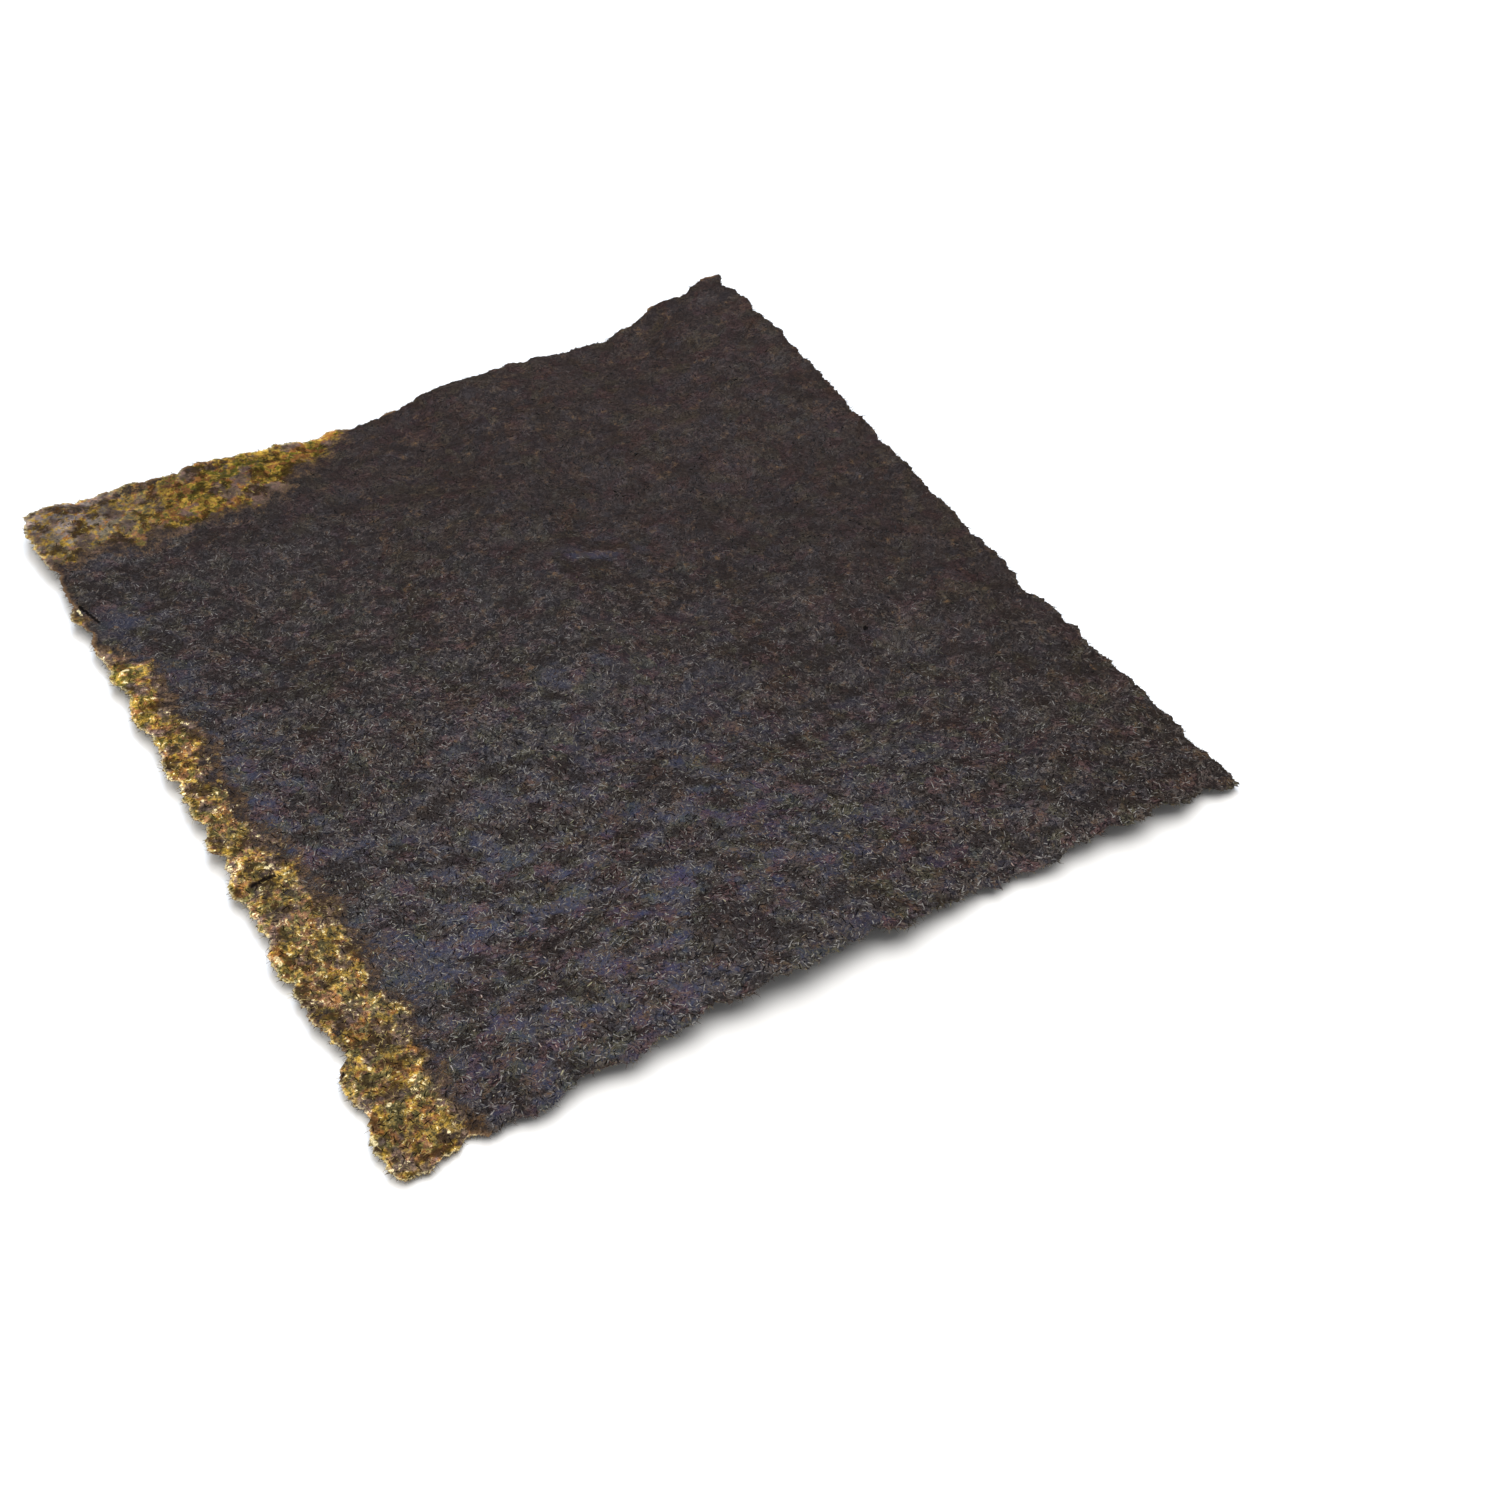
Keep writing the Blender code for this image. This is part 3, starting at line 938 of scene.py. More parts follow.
@dataclass
class RimFibres:
    """Frayed fibres that stand out from the torn rim, each a tapered sliver."""

    border: TornBorder
    count: int = 2200
    seed: int = 88
    shortest: float = 0.00025
    longest: float = 0.00115
    fullest_backlight: float = 0.00006
    thickest: float = 0.00015
    rooted: float = 0.0004
    root_height: float = 0.3
    rim_steps: int = 6
    spread: float = 1.0
    curl: float = 0.9
    rise: float = 0.35
    stations: int = 4
    sides: int = 3
    name: str = "nori_rim_fibres"

    def faces(self) -> list[np.ndarray]:
        """Faces of all the fibres: rings of quads, a cone at the tip and a cap at the root.

        Returns:
            Arrays of faces, each with the same number of corners in all its rows.
        """
        rings = self.stations - 1
        last = self.sides * (rings - 1) + np.arange(self.sides)
        tip = np.full(self.sides, self.sides * rings)
        each = (
            grid_faces(rings, self.sides, wrap=True),
            np.column_stack((last, np.roll(last, -1), tip)),
            np.arange(self.sides)[None, ::-1],
        )
        first = (self.sides * rings + 1) * np.arange(self.count)[:, None, None]
        return [(part + first).reshape(-1, part.shape[1]) for part in each]

    def build(self, material: bpy.types.Material) -> bpy.types.Object:
        """Build the piece.

        A fibre starts a little inside the rim, runs outwards in a drawn direction that curls
        along the way, and tapers to a point.

        Args:
            material: The finish.

        Returns:
            The new object.
        """
        form = self.border.body.form
        rng = np.random.RandomState(self.seed)
        rim = self.border.rim()
        ahead = np.roll(rim, -self.rim_steps, axis=0) - np.roll(rim, self.rim_steps, axis=0)
        picked = rng.randint(0, len(rim), self.count)
        root = rim[picked]
        outward = np.arctan2(-ahead[picked, 0], ahead[picked, 1])[:, None]
        swing, curl, lift, tone = rng.uniform(-1.0, 1.0, (self.count, 4)).T[..., None]
        size, stout = rng.uniform(0.0, 1.0, (self.count, 2)).T[..., None]
        length = self.shortest + (self.longest - self.shortest) * size**3
        radius = (self.fullest_backlight + (self.thickest - self.fullest_backlight) * stout**2) / 2.0
        step = np.linspace(0.0, 1.0, self.stations)
        turn = outward + self.spread * swing + self.curl * curl * step
        reach = (length + self.rooted) / (self.stations - 1)
        under, upper = form.heights(*root.T)
        middle = (under + (upper - under) * self.root_height)[:, None]
        taper = (radius * (1.0 - step**2))[..., None]
        corner = 2.0 * np.pi * np.arange(self.sides) / self.sides
        breadth = np.cos(corner) * taper
        plan = []
        for start, way, side in zip(root.T, (np.cos(turn), np.sin(turn)), (-np.sin(turn), np.cos(turn))):
            walk = np.cumsum(way * reach, axis=1) - way[:, :1] * self.rooted
            plan.append((start[:, None] + walk)[..., None] + side[..., None] * breadth)
        rise = middle + self.rise * lift * length * step**2
        rings = form.placed(*plan, rise[..., None] + np.sin(corner) * taper)
        tip = rings[:, -1].mean(axis=1, keepdims=True)
        points = np.concatenate((rings[:, :-1].reshape(self.count, -1, 3), tip), axis=1)
        # Shares of the painted backlit margin at each fibre's root.
        tones = {**form.tones(*root.T), "tone": (tone[:, 0] + 1.0) / 2.0}
        values = {title: np.repeat(part, points.shape[1]) for title, part in tones.items()}
        return write_piece(self.name, points.reshape(-1, 3), self.faces(), values, material, ALL_SMOOTH)


# ---- Wiring of the finishes ----


@dataclass(frozen=True)
class Ramp:
    """A smooth step, whose result goes from start at low to end at high."""

    low: float
    high: float
    start: float = 0.0
    end: float = 1.0


@dataclass(frozen=True)
class Speckle:
    """A noise: the size of its spots, the number of its finer layers and their strength."""

    size: float
    detail: float = 2.0
    rough: float = 0.5


@dataclass(frozen=True)
class Signal:
    """A number, vector or colour inside a node tree. Sums with it add nodes to the tree."""

    wire: "Wiring"
    socket: bpy.types.NodeSocket

    def __add__(self, other: "Term") -> "Signal":
        """This plus another."""
        return self.wire.sum("ADD", self, other)

    def __sub__(self, other: "Term") -> "Signal":
        """This less another."""
        return self.wire.sum("SUBTRACT", self, other)

    def __rsub__(self, other: "Term") -> "Signal":
        """Another less this."""
        return self.wire.sum("SUBTRACT", other, self)

    def __mul__(self, other: "Term") -> "Signal":
        """This times another."""
        return self.wire.sum("MULTIPLY", self, other)

    def __truediv__(self, other: "Term") -> "Signal":
        """This divided by another."""
        return self.wire.sum("DIVIDE", self, other)

    def __rtruediv__(self, other: "Term") -> "Signal":
        """Another divided by this."""
        return self.wire.sum("DIVIDE", other, self)

    def __abs__(self) -> "Signal":
        """This without its sign."""
        return self.wire.math("ABSOLUTE", self)

    def highest(self, other: "Term") -> "Signal":
        """The higher of this and another."""
        return self.wire.math("MAXIMUM", self, other)

    def limited(self) -> "Signal":
        """This, kept from 0 to 1."""
        return self.wire.math("ADD", self, 0.0, clamp=True)

    def ease(self, low: "Term", high: "Term", start: float = 0.0, end: float = 1.0) -> "Signal":
        """Smooth step of this, from start at low to end at high."""
        terms = {"Value": self, "From Min": low, "From Max": high, "To Min": start, "To Max": end}
        return self.wire.add("ShaderNodeMapRange", terms, interpolation_type="SMOOTHSTEP")["Result"]

    def ramp(self, ramp: Ramp) -> "Signal":
        """Smooth step of this between two plain limits."""
        return self.ease(ramp.low, ramp.high, ramp.start, ramp.end)

    def parts(self) -> tuple["Signal", "Signal", "Signal"]:
        """The three parts of this vector or colour."""
        node = self.wire.add("ShaderNodeSeparateXYZ", {0: self})
        return node[0], node[1], node[2]

    def turned(self, turn: "Signal") -> tuple["Signal", "Signal"]:
        """Way along and way across a direction, for this vector.

        Args:
            turn: Angle of the direction from X.

        Returns:
            The two ways.
        """
        x, y, _ = self.parts()
        cos = self.wire.math("COSINE", turn)
        sin = self.wire.math("SINE", turn)
        return x * cos + y * sin, y * cos - x * sin


Term = Signal | float | tuple


@dataclass(frozen=True)
class Placed:
    """A node in a tree, whose outputs are read as signals."""

    wire: "Wiring"
    node: bpy.types.Node

    def __getitem__(self, name: str | int) -> Signal:
        """One output, by its name or number."""
        return Signal(self.wire, self.node.outputs[name])


class Wiring:
    """Adds nodes to one node tree and joins them."""

    def __init__(self, tree: bpy.types.NodeTree) -> None:
        """Keep the tree."""
        self.tree = tree

    def feed(self, socket: bpy.types.NodeSocket, term: Term) -> None:
        """Join a signal to an input socket, or set the socket to a plain value.

        Args:
            socket: The input socket.
            term: A signal, a number or a tuple.
        """
        if isinstance(term, Signal):
            self.tree.links.new(term.socket, socket)
        else:
            socket.default_value = term

    def add(self, kind: str, terms: dict[str | int, Term], **settings: object) -> Placed:
        """Add a node.

        Args:
            kind: Type name of the node.
            terms: What its inputs are fed with, by their names or numbers.
            **settings: Properties of the node.

        Returns:
            The node.
        """
        node = self.tree.nodes.new(kind)
        for name, value in settings.items():
            setattr(node, name, value)
        for name, term in terms.items():
            self.feed(node.inputs[name], term)
        return Placed(self, node)

    def math(self, operation: str, *terms: Term, clamp: bool = False) -> Signal:
        """Result of a Math node, which may be kept from 0 to 1."""
        terms = dict(enumerate(terms))
        return self.add("ShaderNodeMath", terms, operation=operation, use_clamp=clamp)[0]

    def vector(self, operation: str, *terms: Term) -> Placed:
        """Vector Math node."""
        return self.add("ShaderNodeVectorMath", dict(enumerate(terms)), operation=operation)

    def sum(self, operation: str, first: Term, second: Term) -> Signal:
        """Sum, difference, product or quotient of numbers, or of vectors or colours.

        Args:
            operation: The operation's name.
            first: A signal or a number.
            second: A signal, a number or a tuple. It may be a number where the first is a vector
                or a colour that is multiplied.

        Returns:
            The result.
        """
        single = [
            term.socket.type == "VALUE" if isinstance(term, Signal) else isinstance(term, float)
            for term in (first, second)
        ]
        if all(single):
            return self.math(operation, first, second)
        if single[1]:
            terms = {"Vector": first, "Scale": second}
            return self.add("ShaderNodeVectorMath", terms, operation="SCALE")["Vector"]
        return self.vector(operation, first, second)["Vector"]

    def joined(self, x: Term, y: Term, z: Term = 0.0) -> Signal:
        """Vector of three numbers."""
        return self.add("ShaderNodeCombineXYZ", {0: x, 1: y, 2: z})["Vector"]

    def mix(self, share: Term, first: Term, second: Term, blend: str = "MIX") -> Signal:
        """Colour between two colours, by the share of the second."""
        terms = {0: share, 6: first, 7: second}
        return self.add("ShaderNodeMix", terms, data_type="RGBA", blend_type=blend)[2]

    def noise(self, place: Term, look: Speckle) -> Placed:
        """Noise node, which gives a value and a colour.

        Args:
            place: Coordinates.
            look: The noise.

        Returns:
            The node.
        """
        terms = {"Vector": place, "Scale": 1.0 / look.size, "Detail": look.detail}
        return self.add("ShaderNodeTexNoise", {**terms, "Roughness": look.rough})

    def value_of(self, name: str) -> Signal:
        """The piece's own named value."""
        return self.add("ShaderNodeAttribute", {}, attribute_name=name)["Fac"]

    def place(self) -> Signal:
        """Object coordinates."""
        return self.add("ShaderNodeTexCoord", {})["Object"]

    def bump(self, height: Term, depth: float, strength: float) -> Signal:
        """Normal of a relief with a height from 0 to 1 and a depth."""
        terms = {"Strength": strength, "Distance": depth, "Height": height}
        return self.add("ShaderNodeBump", terms)["Normal"]

    def group(self, tree: bpy.types.NodeTree, **terms: Term) -> Placed:
        """Place a node group; an underscore stands for a space in an input's name."""
        named = {name.replace("_", " "): term for name, term in terms.items()}
        return self.add("ShaderNodeGroup", named, node_tree=tree)


class Finish:
    """A material with one shader, and the wiring of its tree."""

    def __init__(self, name: str) -> None:
        """Make the material.

        Args:
            name: Name of the material.
        """
        self.material = bpy.data.materials.new(name)
        self.material.use_nodes = True
        self.wire = Wiring(self.material.node_tree)

    def dress(self, surface: dict[str, Term]) -> bpy.types.Material:
        """Feed the shader.

        Args:
            surface: What its inputs are fed with, by their names.

        Returns:
            The material.
        """
        shader = self.material.node_tree.nodes["Principled BSDF"]
        for name, term in surface.items():
            self.wire.feed(shader.inputs[name], term)
        return self.material


# ---- Effects that the finishes share, each a node group ----

SOCKET_KINDS = {"Place": "NodeSocketVector", "Luck": "NodeSocketColor", "Colour": "NodeSocketColor"}
MIDDLE = (0.5, 0.5, 0.5)
SEED_SKEW = 1.7


class EffectGroup:
    """A shader node group with named inputs and outputs, which are numbers if not listed above."""

    def __init__(self, name: str, inputs: tuple[str, ...], outputs: tuple[str, ...]) -> None:
        """Make the tree and its sockets.

        Args:
            name: Name of the group.
            inputs: Names of its inputs.
            outputs: Names of its outputs.
        """
        self.tree = bpy.data.node_groups.new(name, "ShaderNodeTree")
        for side, titles in (("INPUT", inputs), ("OUTPUT", outputs)):
            for title in titles:
                kind = SOCKET_KINDS.get(title, "NodeSocketFloat")
                self.tree.interface.new_socket(title, in_out=side, socket_type=kind)
        self.wire = Wiring(self.tree)
        self.given = self.wire.add("NodeGroupInput", {})

    def give(self, **results: Signal) -> bpy.types.NodeTree:
        """Feed the outputs and hand over the tree."""
        self.wire.add("NodeGroupOutput", results)
        return self.tree


def mosaic_cell(wire: Wiring, spot: Signal, seed: Signal) -> tuple[Signal, Signal, Signal]:
    """Cell of a random mosaic, where cells are about one unit across.

    Args:
        wire: The tree's wiring.
        spot: Coordinates.
        seed: Shifts the mosaic along X, and 1.7 times as far along Y.

    Returns:
        The way to the spot from the cell's middle, that middle, and the cell's random colour.
    """
    spot = spot + wire.joined(seed, seed * SEED_SKEW)
    terms = {"Vector": spot, "Scale": 1.0}
    mosaic = wire.add("ShaderNodeTexVoronoi", terms, voronoi_dimensions="2D")
    return spot - mosaic["Position"], mosaic["Position"], mosaic["Color"]


@dataclass(frozen=True)
class StrokeEffect:
    """Short strokes in random directions, one in each cell of a random mosaic.

    In a cell, the way from its middle is turned by the cell's own angle, which also drifts from
    cell to cell over some millimetres, so that strokes lie in loose bundles. The stroke shows
    where the way across it, bent by the square of the way along it, and the way along it are
    short.
    """

    bundle: Speckle = Speckle(4.5 * MM, 0.0)
    own_turn: float = 1.7
    bundle_turn: float = 11.0
    bend: float = 0.2
    core: float = 0.35
    blunt: float = 0.6
    shortest: float = 0.30
    more: float = 0.85

    def make(self) -> bpy.types.NodeTree:
        """Build the group.

        Returns:
            A group that gives the strokes' mask and each stroke's own tone.
        """
        inputs = ("Place", "Cell", "Half Width", "Half Length", "Seed")
        effect = EffectGroup("laver_strokes", inputs, ("Mask", "Tone"))
        given = effect.given
        spot = given["Place"] * (1.0 / given["Cell"])
        way, middle, luck = mosaic_cell(effect.wire, spot, given["Seed"])
        own, second, tone = luck.parts()
        drift = effect.wire.noise(middle * given["Cell"], self.bundle)["Fac"]
        along, over = way.turned(own * self.own_turn + drift * self.bundle_turn)
        across = along * along * ((second - 0.5) * self.bend) + over
        backlit = abs(across).ease(given["Half Width"], given["Half Width"] * self.core)
        reach = given["Half Length"] * (second * self.more + self.shortest)
        return effect.give(Mask=backlit * abs(along).ease(reach, reach * self.blunt), Tone=tone)


@dataclass(frozen=True)
class ShredEffect:
    """Mosaic of pressed shreds: in each, a streaky grain runs in the shred's own direction.

    The cells of a random mosaic, with ragged borders, are the shreds. In a cell, the way from its
    middle is turned by the cell's own angle, and a noise is read there that is stretched along
    that way.
    """

    ragged: Speckle = Speckle(1.1 * MM, 2.0, 0.6)
    ragged_reach: float = 2.4 * MM
    streaks: Speckle = Speckle(1.0, 2.0, 0.55)
    spread: float = 60.0

    def make(self) -> bpy.types.NodeTree:
        """Build the group.

        Returns:
            A group that gives the grain and three random values of the shred as a colour.
        """
        inputs = ("Place", "Cell", "Long", "Fine", "Seed")
        effect = EffectGroup("laver_shreds", inputs, ("Grain", "Luck"))
        wire = effect.wire
        given = effect.given
        ragged = (wire.noise(given["Place"], self.ragged)["Color"] - MIDDLE) * self.ragged_reach
        spot = (given["Place"] + ragged) * (1.0 / given["Cell"])
        way, _, luck = mosaic_cell(wire, spot, given["Seed"])
        own, second, _ = luck.parts()
        along, across = way.turned(own * math.pi)
        long = along * (given["Cell"] / given["Long"])
        fine = across * (given["Cell"] / given["Fine"])
        grain = wire.noise(wire.joined(long, fine, second * self.spread), self.streaks)["Fac"]
        return effect.give(Grain=grain, Luck=luck)


@dataclass(frozen=True)
class FrontEffect:
    """How clear the strokes and how matt the leaf is, and the painted light that scales its colour, from
    front left to back right.
    """

    towards: tuple[float, float, float] = (0.616, 0.788, 0.0)
    strength: Ramp = Ramp(-0.120, 0.060, 2.35, 0.10)
    # Painted light: it multiplies the leaf's colour, darker at the front left and lighter towards the back
    # right.
    light: Ramp = Ramp(-0.020, 0.090, 0.91, 1.50)
    matt: Ramp = Ramp(-0.120, 0.070, -0.03, 0.20)

    def make(self) -> bpy.types.NodeTree:
        """Build the group.

        Returns:
            A group that gives all three at a place, each by a smooth step along the way.
        """
        outputs = ("Strength", "Light", "Matt")
        effect = EffectGroup("front_left_to_back_right", ("Place",), outputs)
        way = effect.wire.vector("DOT_PRODUCT", effect.given["Place"], self.towards)["Value"]
        steps = (self.strength, self.light, self.matt)
        return effect.give(**{title: way.ramp(step) for title, step in zip(outputs, steps)})


@dataclass(frozen=True)
class HueEffect:
    """Faint reddish, olive and bluish tints, in soft clouds and from shred to shred."""

    cloud: Speckle = Speckle(6.0 * MM, 4.0, 0.68)
    shred_share: float = 0.30
    border: Ramp = Ramp(0.48, 0.68)
    tints: tuple[Colour, ...] = (
        (1.36, 0.79, 0.88, 1.0), (0.96, 1.13, 0.62, 1.0), (0.80, 0.96, 1.32, 1.0)
    )

    def make(self) -> bpy.types.NodeTree:
        """Build the group.

        Returns:
            A group that tints a colour. It takes a shred's three random values.
        """
        effect = EffectGroup("laver_hue_patches", ("Place", "Luck", "Colour", "Strength"), ("Colour",))
        wire = effect.wire
        given = effect.given
        soft = wire.noise(given["Place"], self.cloud)["Color"]
        luck = wire.mix(self.shred_share, soft, given["Luck"])
        colour = given["Colour"]
        for part, tint in zip(luck.parts(), self.tints):
            share = part.ramp(self.border) * given["Strength"]
            colour = wire.mix(share, colour, wire.mix(1.0, colour, tint, "MULTIPLY"))
        return effect.give(Colour=colour)


@dataclass(frozen=True)
class LaverPalette:
    """Colours of the body and of the margins painted golden with backlight, in linear values."""

    ground: Colour = (0.0050, 0.0024, 0.0018, 1.0)
    ground_light: Colour = (0.0235, 0.0144, 0.0112, 1.0)
    # Dark umber, partly painted shade in the low parts of the fold noise.
    umber_and_shade: Colour = (0.0150, 0.0080, 0.0054, 1.0)
    grain: Colour = (0.0695, 0.0542, 0.0462, 1.0)
    # Pale strokes: the fibres' own colour, partly painted glints.
    stroke: Colour = (0.2350, 0.2180, 0.1980, 1.0)
    # Painted bluish sheen.
    painted_sheen: Colour = (0.0325, 0.0335, 0.0560, 1.0)
    # Near-black painted shade for creases, pores and pits.
    crease_shade: Colour = (0.0012, 0.0008, 0.0008, 1.0)
    # Brown where the painted backlight glow fades into the body.
    fade: Colour = (0.0230, 0.0135, 0.0095, 1.0)
    fade_light: Colour = (0.0900, 0.0480, 0.0160, 1.0)
    # The margin colours below are painted backlight, light seen through the leaf. The exceptions are the
    # lip, the rim's own red-brown; grey, painted sheen; and cream, painted glints.
    backlit_dark: Colour = (0.0210, 0.0105, 0.0020, 1.0)
    backlit_purple: Colour = (0.0900, 0.0590, 0.0530, 1.0)
    # Grey of the margin's painted sheen patches.
    painted_sheen_grey: Colour = (0.2100, 0.1680, 0.1560, 1.0)
    backlit_olive: Colour = (0.1080, 0.0880, 0.0060, 1.0)
    backlit_green: Colour = (0.0640, 0.0620, 0.0100, 1.0)
    lip: Colour = (0.1500, 0.0800, 0.0360, 1.0)
    backlit_gold: Colour = (0.3000, 0.1820, 0.0260, 1.0)
    backlit_amber: Colour = (0.1750, 0.0640, 0.0170, 1.0)
    # Painted cream glints and highlights.
    painted_glint_cream: Colour = (0.8500, 0.7100, 0.3900, 1.0)
    backlit_fibre: Colour = (0.4200, 0.3100, 0.1150, 1.0)


@dataclass(frozen=True)
class MarginEffect:
    """Mottled painted backlight of the golden margins, light seen through the leaf: spots of olive, gold,
    amber, brown and purple.

    A shred's own random values, a wide noise and a narrow noise together turn olive to gold,
    amber or green, and to grey with painted sheen in the sheen patches. Where the margin's share is
    lower, the wide noise turns it purple. The grain and the narrow noise make the painted glow lighter
    or darker, thicker spots let less of it through and are dark, and painted pale glints are where the
    narrow noise and both grains are high.
    """

    palette: LaverPalette
    wide: Speckle = Speckle(5.0 * MM, 3.0, 0.62)
    narrow: Speckle = Speckle(1.3 * MM, 2.0, 0.60)
    thick: Speckle = Speckle(4.0 * MM, 4.0, 0.66)
    shred_share: float = 0.35
    narrow_share: float = 0.55
    gold: Ramp = Ramp(0.44, 0.52)
    amber: Ramp = Ramp(0.49, 0.57, 0.0, 0.88)
    green: Ramp = Ramp(0.45, 0.38, 0.0, 0.45)
    grey: Ramp = Ramp(0.60, 0.44)
    fullest_backlight: float = 0.90
    purple_gain: float = 0.22
    purple: Ramp = Ramp(0.47, 0.59, 0.0, 0.85)
    spot_light: float = 0.55
    grain_light: Ramp = Ramp(0.39, 0.61, 0.50, 1.7)
    wide_light: Ramp = Ramp(0.40, 0.60, 0.66, 1.32)
    thick_dark: Ramp = Ramp(0.48, 0.60, 0.0, 0.82)
    fine_dark: Ramp = Ramp(0.47, 0.34, 0.0, 0.75)
    spot_peak: float = 1.4
    thick_peak: float = 0.8
    coarse_peak: float = 0.5
    fine_peak: float = 0.8
    glint: Ramp = Ramp(1.20, 1.34, 0.0, 0.95)

    def make(self) -> bpy.types.NodeTree:
        """Build the group.

        Returns:
            A group that gives the painted backlight colour at a place and the share of its dark spots.
            Clear is the share of the grain that shows, Grey that of the painted sheen patches, and Depth
            how far in the backlit margin the place is.
        """
        inputs = ("Place", "Luck", "Coarse", "Fine", "Clear", "Grey", "Depth")
        effect = EffectGroup("backlit_margin_colour", inputs, ("Colour", "Dark"))
        wire = effect.wire
        given = effect.given
        paint = self.palette
        wide = wire.noise(given["Place"], self.wide)["Color"]
        narrow = wire.noise(given["Place"], self.narrow)
        thick = wire.noise(given["Place"], self.thick)["Fac"]
        luck = wire.mix(self.shred_share, wide, given["Luck"])
        first, second, _ = wire.mix(self.narrow_share, luck, narrow["Color"]).parts()
        _, level, depth = wide.parts()
        grains = (narrow["Fac"], given["Coarse"], given["Fine"])
        spot, coarse, fine = ((grain - 0.5) * given["Clear"] + 0.5 for grain in grains)
        colour = wire.mix(first.ramp(self.gold), paint.backlit_olive, paint.backlit_gold)
        colour = wire.mix(second.ramp(self.amber), colour, paint.backlit_amber)
        colour = wire.mix(second.ramp(self.green), colour, paint.backlit_green)
        colour = wire.mix(given["Grey"] * first.ramp(self.grey), colour, paint.painted_sheen_grey)
        inner = (self.fullest_backlight - given["Depth"]) * self.purple_gain + depth
        colour = wire.mix(inner.ramp(self.purple), colour, paint.backlit_purple)
        light = (coarse * (1.0 - self.spot_light) + spot * self.spot_light).ramp(self.grain_light)
        colour = colour * light * level.ramp(self.wide_light)
        dark = thick.ramp(self.thick_dark).highest(fine.ramp(self.fine_dark))
        peak = spot * self.spot_peak - thick * self.thick_peak
        peak = peak + coarse * self.coarse_peak + fine * self.fine_peak
        colour = wire.mix(dark, colour, paint.backlit_dark)
        return effect.give(Colour=wire.mix(peak.ramp(self.glint), colour, paint.painted_glint_cream), Dark=dark)


@dataclass(frozen=True)
class Slit:
    """A slit, or a pit where its two ends are one place: the ends and half its width."""

    x0: float
    y0: float
    x1: float
    y1: float
    reach: float


@dataclass(frozen=True)
class PitEffect:
    """Small ragged pits, at named places, where the leaf is nearly torn, with painted shade in them, and
    painted pale highlights on the curls by them.
    """

    pits: tuple[Slit, ...] = (
        Slit(0.0560, -0.0257, 0.0560, -0.0257, 0.00080),
        Slit(-0.0689, 0.0195, -0.0689, 0.0195, 0.00045),
        Slit(-0.0342, 0.0042, -0.0342, 0.0042, 0.00045),
        Slit(-0.0274, 0.0529, -0.0274, 0.0529, 0.00040),
        Slit(-0.0246, -0.0240, -0.0246, -0.0240, 0.00045),
        Slit(-0.0560, -0.0166, -0.0560, -0.0166, 0.00045),
        Slit(-0.0913, -0.0289, -0.0867, -0.0286, 0.00050),
        Slit(-0.0861, -0.0322, -0.0861, -0.0322, 0.00036),
        Slit(-0.0935, 0.0685, -0.0913, 0.0615, 0.00042),
    )
    # Places of painted pale highlights on small curls.
    curls: tuple[Slit, ...] = (
        Slit(-0.0871, -0.0262, -0.0862, -0.0260, 0.00062),
        Slit(-0.0852, -0.0313, -0.0852, -0.0313, 0.00042),
        Slit(-0.0944, -0.0488, -0.0943, -0.0502, 0.00062),
        Slit(-0.0926, 0.0431, -0.0914, 0.0429, 0.00040),
        Slit(-0.0943, 0.0676, -0.0941, 0.0658, 0.00036),
        Slit(-0.0958, -0.0899, -0.0956, -0.0923, 0.00055),
        Slit(-0.0956, -0.0943, -0.0954, -0.0965, 0.00055),
        Slit(-0.0898, -0.0899, -0.0898, -0.0899, 0.00060),
    )
    ragged: Speckle = Speckle(0.7 * MM)
    ragged_reach: float = 1.1 * MM
    spacing: float = 0.9
    core: float = 0.6

    def mask(self, place: Signal, slits: tuple[Slit, ...]) -> Signal:
        """Share of any of the slits at a place: the highest of round spots along each of them.

        Args:
            place: Coordinates, on the plane.
            slits: The slits.

        Returns:
            The share.
        """
        total: Term = 0.0
        for slit in slits:
            length = math.hypot(slit.x1 - slit.x0, slit.y1 - slit.y0)
            count = 1 + int(length / (self.spacing * slit.reach))
            for share in np.linspace(0.0, 1.0, count):
                x = float(slit.x0 + (slit.x1 - slit.x0) * share)
                y = float(slit.y0 + (slit.y1 - slit.y0) * share)
                gap = place.wire.vector("DISTANCE", place, (x, y, 0.0))["Value"]
                total = gap.ease(slit.reach, self.core * slit.reach).highest(total)
        return total

    def make(self) -> bpy.types.NodeTree:
        """Build the group.

        Returns:
            A group that gives the share of a pit's painted shade and of a curl's painted highlight at a
            place.
        """
        effect = EffectGroup("laver_pits", ("Place",), ("Pit", "Curl"))
        place = effect.given["Place"]
        ragged = (effect.wire.noise(place, self.ragged)["Color"] - MIDDLE) * self.ragged_reach
        flat = (place + ragged) * (1.0, 1.0, 0.0)
        return effect.give(Pit=self.mask(flat, self.pits), Curl=self.mask(flat, self.curls))


class EffectKit:
    """The node groups that the finishes share."""

    def __init__(self, palette: LaverPalette) -> None:
        """Build each group once.

        Args:
            palette: The leaf's colours.
        """
        self.front = FrontEffect().make()
        self.mosaic = ShredEffect().make()
        self.strokes = StrokeEffect().make()
        self.hues = HueEffect().make()
        self.backlit = MarginEffect(palette).make()
        # Painted backlight colour of the golden margins.
        self.pits = PitEffect().make()


# ---- Finishes ----


